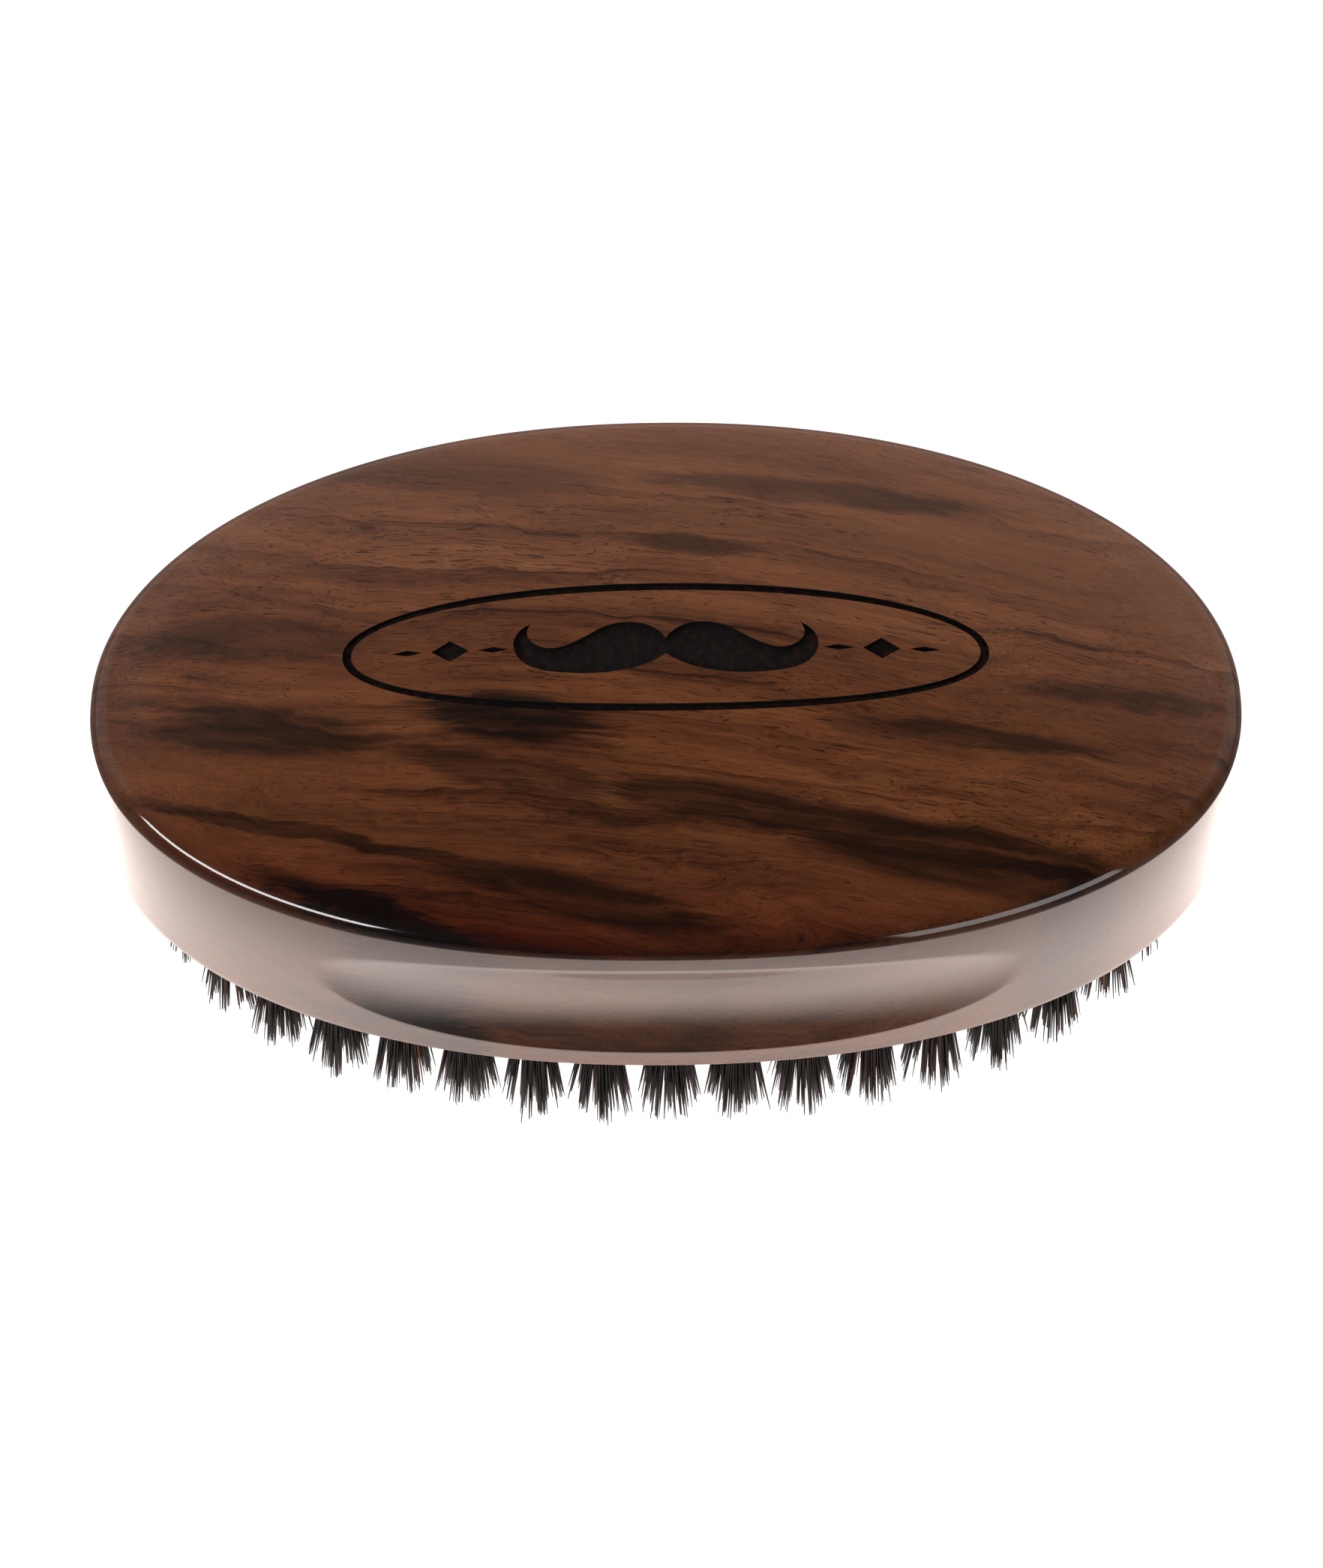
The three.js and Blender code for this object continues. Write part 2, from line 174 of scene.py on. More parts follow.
def settle(obj: bpy.types.Object) -> None:
    """Puts an object's place, turn and scale into its mesh."""
    take(obj)
    bpy.ops.object.transform_apply(location=True, rotation=True, scale=True)


def shade(obj: bpy.types.Object, degrees: float) -> None:
    """Shades a piece smooth except where its faces meet at more than an angle."""
    take(obj)
    bpy.ops.object.shade_smooth_by_angle(angle=math.radians(degrees))


def dress(obj: bpy.types.Object, finish: bpy.types.Material, slot: Slot) -> None:
    """Gives a new piece its finish, and tells the frame its body.

    Args:
        obj: the piece; one that was cut has its materials already and keeps them.
        finish: the material.
        slot: the record's slot that the finish stands for; not used.
    """
    if not obj.data.materials:
        obj.data.materials.append(finish)
    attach(obj, ROOT)


def copy_to(obj: bpy.types.Object, x: float, y: float) -> bpy.types.Object:
    """Copies an object, with a mesh of its own.

    Args:
        obj: the object.
        x: the copy's place along the brush in mm.
        y: its place across the brush in mm.

    Returns:
        The copy.
    """
    twin = obj.copy()
    twin.data = obj.data.copy()
    twin.location = (x * MM, y * MM, 0)
    bpy.context.scene.collection.objects.link(twin)
    return twin


def cut(obj: bpy.types.Object, cutter: bpy.types.Object) -> None:
    """Cuts one closed piece with another, which is then removed.

    Args:
        obj: the piece that is cut.
        cutter: the cutting shape; the cut's faces take its material.
    """
    take(obj)
    boolean = obj.modifiers.new("cut", "BOOLEAN")
    boolean.operation = "DIFFERENCE"
    boolean.solver = "EXACT"
    boolean.material_mode = "TRANSFER"
    boolean.object = cutter
    bpy.ops.object.modifier_apply(modifier=boolean.name)
    bpy.data.objects.remove(cutter)


def join(objects: list[bpy.types.Object], name: str) -> bpy.types.Object:
    """Joins mesh objects into the first of them.

    Args:
        objects: the meshes.
        name: the name of the result.

    Returns:
        The joined object.
    """
    take(objects[0])
    for obj in objects:
        obj.select_set(True)
    bpy.ops.object.join()
    objects[0].name = name
    return objects[0]


def start_circle(name: str, steps: int, fill: str) -> bpy.types.Object:
    """Adds a circle in edit mode whose points, and all that is extruded from them, know their angle round it.

    Args:
        name: the object's name.
        steps: the number of points.
        fill: "NGON" for a circle with a face, "NOTHING" for a bare loop.

    Returns:
        The circle, selected all over.
    """
    deselect()
    bpy.ops.mesh.primitive_circle_add(vertices=steps, radius=1, fill_type=fill)
    obj = bpy.context.object
    obj.name = name
    bpy.ops.object.mode_set(mode="EDIT")
    mesh = bmesh.from_edit_mesh(obj.data)
    turn = mesh.verts.layers.float.new(TURN)
    for vertex in mesh.verts:
        vertex[turn] = math.atan2(vertex.co.y, vertex.co.x)
    bpy.ops.mesh.select_all(action="SELECT")
    return obj


def place_ring(obj: bpy.types.Object, ring: Ring) -> None:
    """Moves the selected points of a circle, or of a ring that was extruded from one.

    Args:
        obj: the object, in edit mode.
        ring: the place in millimetres of the point at an angle round the ring.
    """
    mesh = bmesh.from_edit_mesh(obj.data)
    turn = mesh.verts.layers.float[TURN]
    for vertex in mesh.verts:
        if vertex.select:
            vertex.co = ring(vertex[turn]) * MM
    bmesh.update_edit_mesh(obj.data)


def close_body(obj: bpy.types.Object) -> None:
    """Leaves edit mode on a closed body, with its faces turned outwards.

    Args:
        obj: the body.
    """
    bpy.ops.mesh.select_all(action="SELECT")
    bpy.ops.mesh.normals_make_consistent(inside=False)
    bpy.ops.object.mode_set(mode="OBJECT")
    if TURN in obj.data.attributes:
        obj.data.attributes.remove(obj.data.attributes[TURN])


def loft(name: str, rings: Iterable[Ring], steps: int, pointed: bool = False) -> bpy.types.Object:
    """Makes a closed body by extruding a circle from ring to ring.

    Args:
        name: the object's name.
        rings: for each ring, the place in millimetres of the point at an angle round it.
        steps: the number of points in a ring.
        pointed: whether the last ring closes in one point, and not in a flat face.

    Returns:
        The body.
    """
    obj = start_circle(name, steps, "NGON")
    for number, ring in enumerate(rings):
        if number:
            bpy.ops.mesh.extrude_region_move()
        place_ring(obj, ring)
    if pointed:
        bpy.ops.mesh.merge(type="CENTER")
    close_body(obj)
    return obj


# ---------------------------------------------------------------- plan shapes


@dataclass(frozen=True)
class Oval:
    """A superellipse about the Z axis: the plan of the block, the board and each closed row of tufts."""

    half_length: float
    half_width: float
    power: float = 2.155
    samples: int = 2880

    def inset(self, distance: float) -> "Oval":
        """The same oval, smaller by a distance on every side."""
        return Oval(self.half_length - distance, self.half_width - distance, self.power)

    def point(self, angle: float) -> tuple[float, float]:
        """Works out one of the oval's points.

        Args:
            angle: the angle parameter, from +X towards +Y.

        Returns:
            The point's x and y.
        """
        c, s = math.cos(angle), math.sin(angle)
        x = self.half_length * math.copysign(abs(c) ** (2 / self.power), c)
        y = self.half_width * math.copysign(abs(s) ** (2 / self.power), s)
        return x, y

    def normal(self, x: float, y: float) -> Vector:
        """Works out the outward normal.

        Args:
            x: the x of a point of the oval.
            y: its y.

        Returns:
            The unit normal there.
        """
        steep = self.power - 1
        nx = math.copysign(abs(x / self.half_length) ** steep, x) / self.half_length
        ny = math.copysign(abs(y / self.half_width) ** steep, y) / self.half_width
        return Vector((nx, ny, 0)).normalized()

    def size_at(self, x: float, y: float) -> float:
        """Measures how far out a point lies.

        Args:
            x: the point's x.
            y: its y.

        Returns:
            The size, as a share of this oval, of the similar oval through the point.
        """
        along = abs(x / self.half_length) ** self.power
        across = abs(y / self.half_width) ** self.power
        return (along + across) ** (1 / self.power)

    def spaced(self, count: int) -> list[tuple[float, float]]:
        """Spaces points evenly along the oval.

        Args:
            count: how many points.

        Returns:
            The points, anticlockwise from the middle of the front.
        """
        angles = [-math.pi / 2 + math.tau * i / self.samples for i in range(self.samples + 1)]
        fine = np.array([self.point(angle) for angle in angles])
        reach = np.concatenate([[0], np.cumsum(np.hypot(*np.diff(fine, axis=0).T))])
        wanted = np.arange(count) / count * reach[-1]
        return list(zip(np.interp(wanted, reach, fine[:, 0]), np.interp(wanted, reach, fine[:, 1])))


# ---------------------------------------------------------------- finishes


@dataclass(frozen=True)
class Smoke:
    """A smoky dark patch in the wood: its middle and half-sizes in mm, its fall towards +X, its strength."""

    x: float
    y: float
    half_length: float
    half_width: float
    fall_degrees: float
    strength: float


@dataclass(frozen=True)
class GrainLines:
    """Coordinates in mm along the grain.

    Some wander with the growth of the tree, some are frayed out by the fibres as well, and some keep to
    straight lines that the fibres only feather.
    """

    wandering: Socket
    frayed: Socket
    feathered: Socket


@dataclass(frozen=True)
class WalnutGrain:
    """The figure of flat-sawn walnut along X, which the lacquered block and the oiled board share.

    The wood's brown comes in long wandering bands, finer streaks and fibres, with short dark pores, and smoky
    dark patches that end in feathered tips.
    """

    deep: str = "#1b0a02"
    dark: str = "#38190b"
    brown: str = "#66391f"
    light: str = "#7f4a2b"
    pale: str = "#93613d"
    # What each zone of the top does to these colours, all painted light: painted shade that darkens and
    # reddens the front, painted shade that makes the middle darker than the upright sides, and a cool painted
    # reflection of the sky at the back.
    front_painted_shade: str = "#8c5630"
    middle: str = "#cfccc8"
    back_painted_reflection: str = "#e8f0fa"
    # Painted light: the upright sides are painted paler than the top, and their figure and smoke fainter.
    side: str = "#94604a"
    painted_side_light_share: float = 0.4
    side_smoke_under_painted_light: float = 0.7
    slope_degrees: float = 9.0
    # How far the grain wanders over centimetres and wavers over millimetres, and how long its fibres are.
    wander_mm: float = 12.0
    waver_mm: float = 2.2
    fray_mm: float = 26.0
    ripple_mm: float = 2.4
    feathering: float = 0.45
    ring_mm: float = 5.5
    late_wood: float = 0.3
    base_tone: float = 0.17
    fibre_contrast: float = 0.62
    streak_contrast: float = 1.3
    pore_mm: tuple[float, float] = (5.0, 0.18)
    pore_darkness: float = 0.65
    fibre_relief: float = 0.35
    smokes: tuple[Smoke, ...] = ()

    def layer(self, tree: Tree, lines: Socket, length: float, width: float, **noise: float) -> Socket:
        """Adds one layer of streaks.

        Args:
            tree: the material's node tree.
            lines: the grain's coordinates, in mm.
            length: the streaks' usual length in mm.
            width: their usual width in mm.
            noise: further values for the noise's inputs.

        Returns:
            The layer's socket, from 0 to 1.
        """
        stretched = add(tree, "Mapping", {"Vector": lines, "Scale": (1 / length, 1 / width, 1 / width)})
        inputs = {"Vector": stretched.outputs[0], "Scale": 1.0}
        inputs.update({name.capitalize(): value for name, value in noise.items()})
        return add(tree, "TexNoise", inputs).outputs["Fac"]

    def lines(self, tree: Tree) -> GrainLines:
        """Adds the coordinates that the figure is drawn on.

        Args:
            tree: the material's node tree.

        Returns:
            The coordinates.
        """
        place = add(tree, "TexCoord").outputs["Object"]
        turn = (0, 0, math.radians(self.slope_degrees))
        to_mm = (1 / MM, 1 / MM, 1 / MM)
        straight = add(tree, "Mapping", {"Vector": place, "Rotation": turn, "Scale": to_mm}).outputs[0]

        wander = self.layer(tree, straight, length=46, width=24, detail=1.0)
        waver = self.layer(tree, straight, length=7, width=3, detail=2.0)
        wide = {0: wander, 1: self.wander_mm, 2: -self.wander_mm / 2}
        sideways = add(tree, "Math", wide, operation="MULTIPLY_ADD").outputs[0]
        both = {0: waver, 1: self.waver_mm, 2: sideways}
        sideways = add(tree, "Math", both, operation="MULTIPLY_ADD").outputs[0]
        offset = add(tree, "CombineXYZ", {"Y": sideways, "Z": sideways}).outputs[0]
        wandering = add(tree, "VectorMath", {0: straight, 1: offset}, operation="ADD").outputs[0]

        # Fibres draw every edge of the figure out along the grain.
        fray = self.layer(tree, wandering, length=10, width=0.45, detail=3.0, roughness=0.65)
        long = {0: fray, 1: self.fray_mm, 2: -self.fray_mm / 2}
        along = add(tree, "Math", long, operation="MULTIPLY_ADD").outputs[0]
        pull = add(tree, "CombineXYZ", {"X": along}).outputs[0]
        frayed = add(tree, "VectorMath", {0: wandering, 1: pull}, operation="ADD").outputs[0]

        # The smoky patches keep their places, with their edges feathered.
        pull = add(tree, "VectorMath", {0: pull, "Scale": self.feathering}, operation="SCALE").outputs[0]
        narrow = {0: waver, 1: self.ripple_mm, 2: -self.ripple_mm / 2}
        ripple = add(tree, "Math", narrow, operation="MULTIPLY_ADD").outputs[0]
        ripple = add(tree, "CombineXYZ", {"Y": ripple}).outputs[0]
        feathered = add(tree, "VectorMath", {0: straight, 1: pull}, operation="ADD").outputs[0]
        feathered = add(tree, "VectorMath", {0: feathered, 1: ripple}, operation="ADD").outputs[0]
        return GrainLines(wandering, frayed, feathered)

    def late(self, tree: Tree, down: Socket, crowd: Socket) -> Socket:
        """Adds the growth rings: each darkens towards its late wood and ends there sharply.

        Args:
            tree: the material's node tree.
            down: the place across the grain, in mm.
            crowd: how busy the figure is, from 0 to 1.

        Returns:
            How much darker the late wood makes the tone.
        """
        rings = add(tree, "Math", {0: down, 1: 1 / self.ring_mm}, operation="MULTIPLY").outputs[0]
        ring = add(tree, "Math", {0: rings}, operation="FRACT").outputs[0]
        late = add(tree, "Math", {0: ring, 1: 5.0}, operation="POWER").outputs[0]
        shares = {"Value": crowd, "From Min": 0.4, "From Max": 0.62, "To Max": self.late_wood}
        shown = add(tree, "MapRange", shares).outputs[0]
        return add(tree, "Math", {0: late, 1: shown}, operation="MULTIPLY").outputs[0]

    def tone(self, tree: Tree, lines: GrainLines, streaks: Socket, fibres: Socket, crowd: Socket) -> Socket:
        """Adds the bands, streaks, fibres and growth rings together.

        Args:
            tree: the material's node tree.
            lines: the grain's coordinates.
            streaks: the layer of streaks.
            fibres: the layer of fibres.
            crowd: how busy the figure is, from 0 to 1.

        Returns:
            The tone, from 0 for dark to 1 for pale.
        """
        bands = self.layer(tree, lines.frayed, length=75, width=8, detail=2.0, roughness=0.5)
        # Some places are busy with streaks and others calm.
        shares = {"Value": crowd, "From Min": 0.38, "From Max": 0.6, "To Min": 0.35, "To Max": 1.3}
        busy = add(tree, "MapRange", shares).outputs[0]
        streaked = add(tree, "Math", {0: streaks, 1: -0.5}, operation="ADD").outputs[0]
        streaked = add(tree, "Math", {0: streaked, 1: busy}, operation="MULTIPLY").outputs[0]
        banded = add(tree, "Math", {0: bands, 1: -0.5}, operation="ADD").outputs[0]
        layers = {0: streaked, 1: self.streak_contrast, 2: banded}
        figure = add(tree, "Math", layers, operation="MULTIPLY_ADD").outputs[0]
        # The figure is calmer towards the back edge of the board.
        down = add(tree, "SeparateXYZ", {0: lines.frayed}).outputs["Y"]
        places = {"Value": down, "From Min": -25.0, "From Max": 15.0, "To Min": 1.1, "To Max": 0.5}
        calmer = add(tree, "MapRange", places).outputs[0]
        layers = {0: figure, 1: calmer, 2: self.base_tone}
        tone = add(tree, "Math", layers, operation="MULTIPLY_ADD").outputs[0]
        layers = {0: fibres, 1: self.fibre_contrast, 2: tone}
        tone = add(tree, "Math", layers, operation="MULTIPLY_ADD").outputs[0]
        return add(tree, "Math", {0: tone, 1: self.late(tree, down, crowd)}, operation="SUBTRACT").outputs[0]

    def smoke(self, tree: Tree, lines: GrainLines, streaks: Socket, upper: Socket) -> Socket:
        """Adds the smoky patches with their feathered ends.

        Args:
            tree: the material's node tree.
            lines: the grain's coordinates.
            streaks: the layer of streaks, which break the patches up.
            upper: 1 on the top and 0 on the upright sides.

        Returns:
            The smoke's strength, from 0 to 1.
        """
        cloud = self.layer(tree, lines.frayed, length=34, width=5, detail=4.0, roughness=0.6)
        shares = {"Value": cloud, "From Min": 0.56, "From Max": 0.7, "To Max": 0.4}
        smoke = add(tree, "MapRange", shares).outputs[0]
        slope = math.radians(self.slope_degrees)
        for patch in self.smokes:
            middle = Matrix.Rotation(slope, 2) @ Vector((patch.x, patch.y))
            oval = {
                "Vector": lines.feathered,
                "Location": (middle.x, middle.y, 0),
                "Rotation": (0, 0, slope - math.radians(patch.fall_degrees)),
                # A patch goes right through the wood.
                "Scale": (patch.half_length, patch.half_width, 1e6),
            }
            near = add(tree, "Mapping", oval, vector_type="TEXTURE").outputs[0]
            away = add(tree, "VectorMath", {0: near}, operation="LENGTH").outputs["Value"]
            edge = {"Value": away, "From Min": 1.15, "From Max": 0.6, "To Max": patch.strength}
            dark = add(tree, "MapRange", edge, interpolation_type="SMOOTHSTEP").outputs[0]
            smoke = add(tree, "Math", {0: smoke, 1: dark}, operation="MAXIMUM").outputs[0]
        shares = {"Value": streaks, "From Min": 0.66, "From Max": 0.42, "To Min": 0.72}
        broken = add(tree, "MapRange", shares).outputs[0]
        smoke = add(tree, "Math", {0: smoke, 1: broken}, operation="MULTIPLY").outputs[0]
        # Painted light: the smoke is fainter on the upright sides, which are painted paler.
        faded = add(tree, "MapRange", {"Value": upper, "To Min": self.side_smoke_under_painted_light}).outputs[0]
        return add(tree, "Math", {0: smoke, 1: faded}, operation="MULTIPLY").outputs[0]

    def pores(self, tree: Tree, lines: GrainLines, crowd: Socket) -> Socket:
        """Adds the pores: dark dashes a few millimetres long, closer together in some bands than in others.

        Args:
            tree: the material's node tree.
            lines: the grain's coordinates.
            crowd: how busy the figure is, from 0 to 1.

        Returns:
            1 in a pore and 0 outside.
        """
        length, width = self.pore_mm
        dashes = self.layer(tree, lines.wandering, length, width, detail=1.0)
        edge = add(tree, "Math", {0: crowd, 1: -0.3, 2: 0.8}, operation="MULTIPLY_ADD").outputs[0]
        over = add(tree, "Math", {0: dashes, 1: edge}, operation="SUBTRACT").outputs[0]
        return add(tree, "MapRange", {"Value": over, "From Max": 0.05}).outputs[0]

    def build(self, tree: Tree) -> tuple[Socket, Socket]:
        """Adds the grain's nodes.

        Args:
            tree: the material's node tree.

        Returns:
            The wood's colour and its relief, which is low in the pores.
        """
        lines = self.lines(tree)
        streaks = self.layer(tree, lines.frayed, length=38, width=1.7, detail=3.0, roughness=0.55)
        fibres = self.layer(tree, lines.wandering, length=16, width=0.22, detail=2.0, roughness=0.6)
        crowd = self.layer(tree, lines.wandering, length=60, width=12, detail=1.0)
        facing = add(tree, "SeparateXYZ", {0: add(tree, "NewGeometry").outputs["Normal"]}).outputs["Z"]
        upper = add(tree, "MapRange", {"Value": facing, "From Min": -0.03, "From Max": 0.1}).outputs[0]
        deep = linear(self.deep)

        tone = self.tone(tree, lines, streaks, fibres, crowd)
        stops = [(0.0, self.dark), (1.0, self.pale), (0.3, self.brown), (0.62, self.light)]
        colour = add(tree, "ValToRGB", {"Fac": tone}, stops=stops).outputs["Color"]
        # Painted light: the upright sides are mixed towards a paler colour than the top.
        paler = {0: self.painted_side_light_share, 6: colour, 7: linear(self.side)}
        paler = add(tree, "Mix", paler, data_type="RGBA").outputs[2]
        colour = add(tree, "Mix", {0: upper, 6: paler, 7: colour}, data_type="RGBA").outputs[2]

        smoke = self.smoke(tree, lines, streaks, upper)
        colour = add(tree, "Mix", {0: smoke, 6: colour, 7: deep}, data_type="RGBA").outputs[2]

        # Painted light: the zones paint shade and a cool reflection on the top alone.
        down = add(tree, "SeparateXYZ", {0: lines.frayed}).outputs["Y"]
        across = add(tree, "MapRange", {"Value": down, "From Min": -34.0, "From Max": 34.0}).outputs[0]
        zones = [(0.03, self.front_painted_shade), (0.8, self.back_painted_reflection), (0.2, self.middle), (0.5, self.middle)]
        zone = add(tree, "ValToRGB", {"Fac": across}, stops=zones).outputs["Color"]
        top = add(tree, "MapRange", {"Value": facing, "From Min": 0.2, "From Max": 0.5}).outputs[0]
        zoned = {0: top, 6: colour, 7: zone}
        colour = add(tree, "Mix", zoned, data_type="RGBA", blend_type="MULTIPLY").outputs[2]

        pores = self.pores(tree, lines, crowd)
        faint = add(tree, "Math", {0: pores, 1: self.pore_darkness}, operation="MULTIPLY").outputs[0]
        colour = add(tree, "Mix", {0: faint, 6: colour, 7: deep}, data_type="RGBA").outputs[2]

        relief = add(tree, "Math", {0: fibres, 1: self.fibre_relief}, operation="MULTIPLY").outputs[0]
        relief = add(tree, "Math", {0: relief, 1: pores}, operation="SUBTRACT").outputs[0]
        return colour, relief


@dataclass(frozen=True)
class LacqueredWalnut:
    """Black walnut, sanded fine and sprayed with clear gloss lacquer.

    The lacquer gives the upright wall its clear reflections of the white surroundings, over the brown wood.
    """

    grain: WalnutGrain
    name: str = "walnut_gloss_lacquer"
    wood_roughness: float = 0.6
    lacquer_roughness: float = 0.075
    wood_ior: float = 1.45
    lacquer_ior: float = 1.4
    # Under lacquer the wood's own surface hardly reflects.
    wood_sheen: float = 0.05
    relief_mm: float = 0.03
    relief_strength: float = 0.35

    def build(self) -> bpy.types.Material:
        """Makes the material.

        Returns:
            The material.
        """
        material, tree = start_material(self.name)
        colour, relief = self.grain.build(tree)
        relief = {"Height": relief, "Strength": self.relief_strength, "Distance": self.relief_mm * MM}
        surface = {
            "Base Color": colour,
            "Roughness": self.wood_roughness,
            "IOR": self.wood_ior,
            "Specular IOR Level": self.wood_sheen,
            "Normal": add(tree, "Bump", relief).outputs[0],
            "Coat Weight": 1.0,
            "Coat Roughness": self.lacquer_roughness,
            "Coat IOR": self.lacquer_ior,
        }
        wood = add(tree, "BsdfPrincipled", surface)
        add(tree, "OutputMaterial", {"Surface": wood.outputs[0]})
        return material


@dataclass(frozen=True)
class BurntWalnut:
    """Walnut charred by the engraving laser: near black and dull, with brown where the char is thin."""

    name: str = "walnut_burnt"
    char: str = "#090505"
    thin: str = "#1e100b"
    patch_mm: float = 0.9
    relief_mm: float = 0.08

    def build(self) -> bpy.types.Material:
        """Makes the material.

        Returns:
            The material.
        """
        material, tree = start_material(self.name)
        place = add(tree, "TexCoord").outputs["Object"]
        noise = {"Vector": place, "Scale": 1 / (self.patch_mm * MM), "Detail": 3.0}
        patches = add(tree, "TexNoise", noise).outputs["Fac"]
        stops = [(0.45, self.char), (0.75, self.thin)]
        relief = {"Height": patches, "Strength": 0.6, "Distance": self.relief_mm * MM}
        surface = {
            "Base Color": add(tree, "ValToRGB", {"Fac": patches}, stops=stops).outputs["Color"],
            "Roughness": 0.85,
            "IOR": 1.45,
            "Specular IOR Level": 0.2,
            "Normal": add(tree, "Bump", relief).outputs[0],
        }
        char = add(tree, "BsdfPrincipled", surface)
        add(tree, "OutputMaterial", {"Surface": char.outputs[0]})
        return material


@dataclass(frozen=True)
class OiledWalnut:
    """Plain walnut wiped with oil: the same grain as the block, lighter and without the lacquer's gloss."""

    grain: WalnutGrain
    name: str = "walnut_oiled"
    relief_mm: float = 0.06

    def build(self) -> bpy.types.Material:
        """Makes the material.

        Returns:
            The material.
        """
        material, tree = start_material(self.name)
        colour, relief = self.grain.build(tree)
        relief = {"Height": relief, "Strength": 0.5, "Distance": self.relief_mm * MM}
        bump = add(tree, "Bump", relief).outputs[0]
        surface = {"Base Color": colour, "Roughness": 0.55, "IOR": 1.45, "Normal": bump}
        wood = add(tree, "BsdfPrincipled", surface)
        add(tree, "OutputMaterial", {"Surface": wood.outputs[0]})
        return material


@dataclass(frozen=True)
class BoarBristle:
    """Dark boar bristle: horn-like hair, nearly black, with some brown and fair hairs, and paler tips."""

    name: str = "boar_bristle"
    black: str = "#040504"
    grey: str = "#121411"
    brown: str = "#40200f"
    fair: str = "#a8612c"
    roughness: float = 0.45
    tip_start: float = 0.86
    tip_brown: float = 0.35

    def build(self) -> bpy.types.Material:
        """Makes the material.

        Returns:
            The material, which reads each hair's tint and each point's place along its hair.
        """
        material, tree = start_material(self.name)
        tint = add(tree, "Attribute", attribute_name=Hair.TINT).outputs["Fac"]
        along = add(tree, "Attribute", attribute_name=Hair.ALONG).outputs["Fac"]
        # Most hairs are black to grey, about a tenth are brown and one in a hundred is fair.
        stops = [
            (0.0, self.black),
            (0.86, self.grey),
            (0.94, self.brown),
            (0.985, self.brown),
            (1.0, self.fair),
        ]
        colour = add(tree, "ValToRGB", {"Fac": tint}, stops=stops).outputs["Color"]
        end = {"Value": along, "From Min": self.tip_start, "From Max": 1.0, "To Max": self.tip_brown}
        tip = add(tree, "MapRange", end).outputs[0]
        colour = add(tree, "Mix", {0: tip, 6: colour, 7: linear(self.brown)}, data_type="RGBA").outputs[2]
        surface = {"Base Color": colour, "Roughness": self.roughness, "IOR": 1.55, "Specular IOR Level": 0.15}
        hair = add(tree, "BsdfPrincipled", surface)
        add(tree, "OutputMaterial", {"Surface": hair.outputs[0]})
        return material


@dataclass(frozen=True)
class DrawnWire:
    """Bright drawn steel wire, with the mottled dullness of wire that has lain in its channel."""

    name: str = "steel_drawn"
    steel: str = "#bfc1c4"
    dull: str = "#8f9194"
    roughness: float = 0.3
    patch_mm: float = 0.5

    def build(self) -> bpy.types.Material:
        """Makes the material.

        Returns:
            The material.
        """
        material, tree = start_material(self.name)
        place = add(tree, "TexCoord").outputs["Object"]
        noise = {"Vector": place, "Scale": 1 / (self.patch_mm * MM), "Detail": 2.0}
        patches = add(tree, "TexNoise", noise).outputs["Fac"]
        stops = [(0.3, self.dull), (0.7, self.steel)]
        colour = add(tree, "ValToRGB", {"Fac": patches}, stops=stops).outputs["Color"]
        surface = {"Base Color": colour, "Metallic": 1.0, "Roughness": self.roughness}
        wire = add(tree, "BsdfPrincipled", surface)
        add(tree, "OutputMaterial", {"Surface": wire.outputs[0]})
        return material


# ---------------------------------------------------------------- handle block


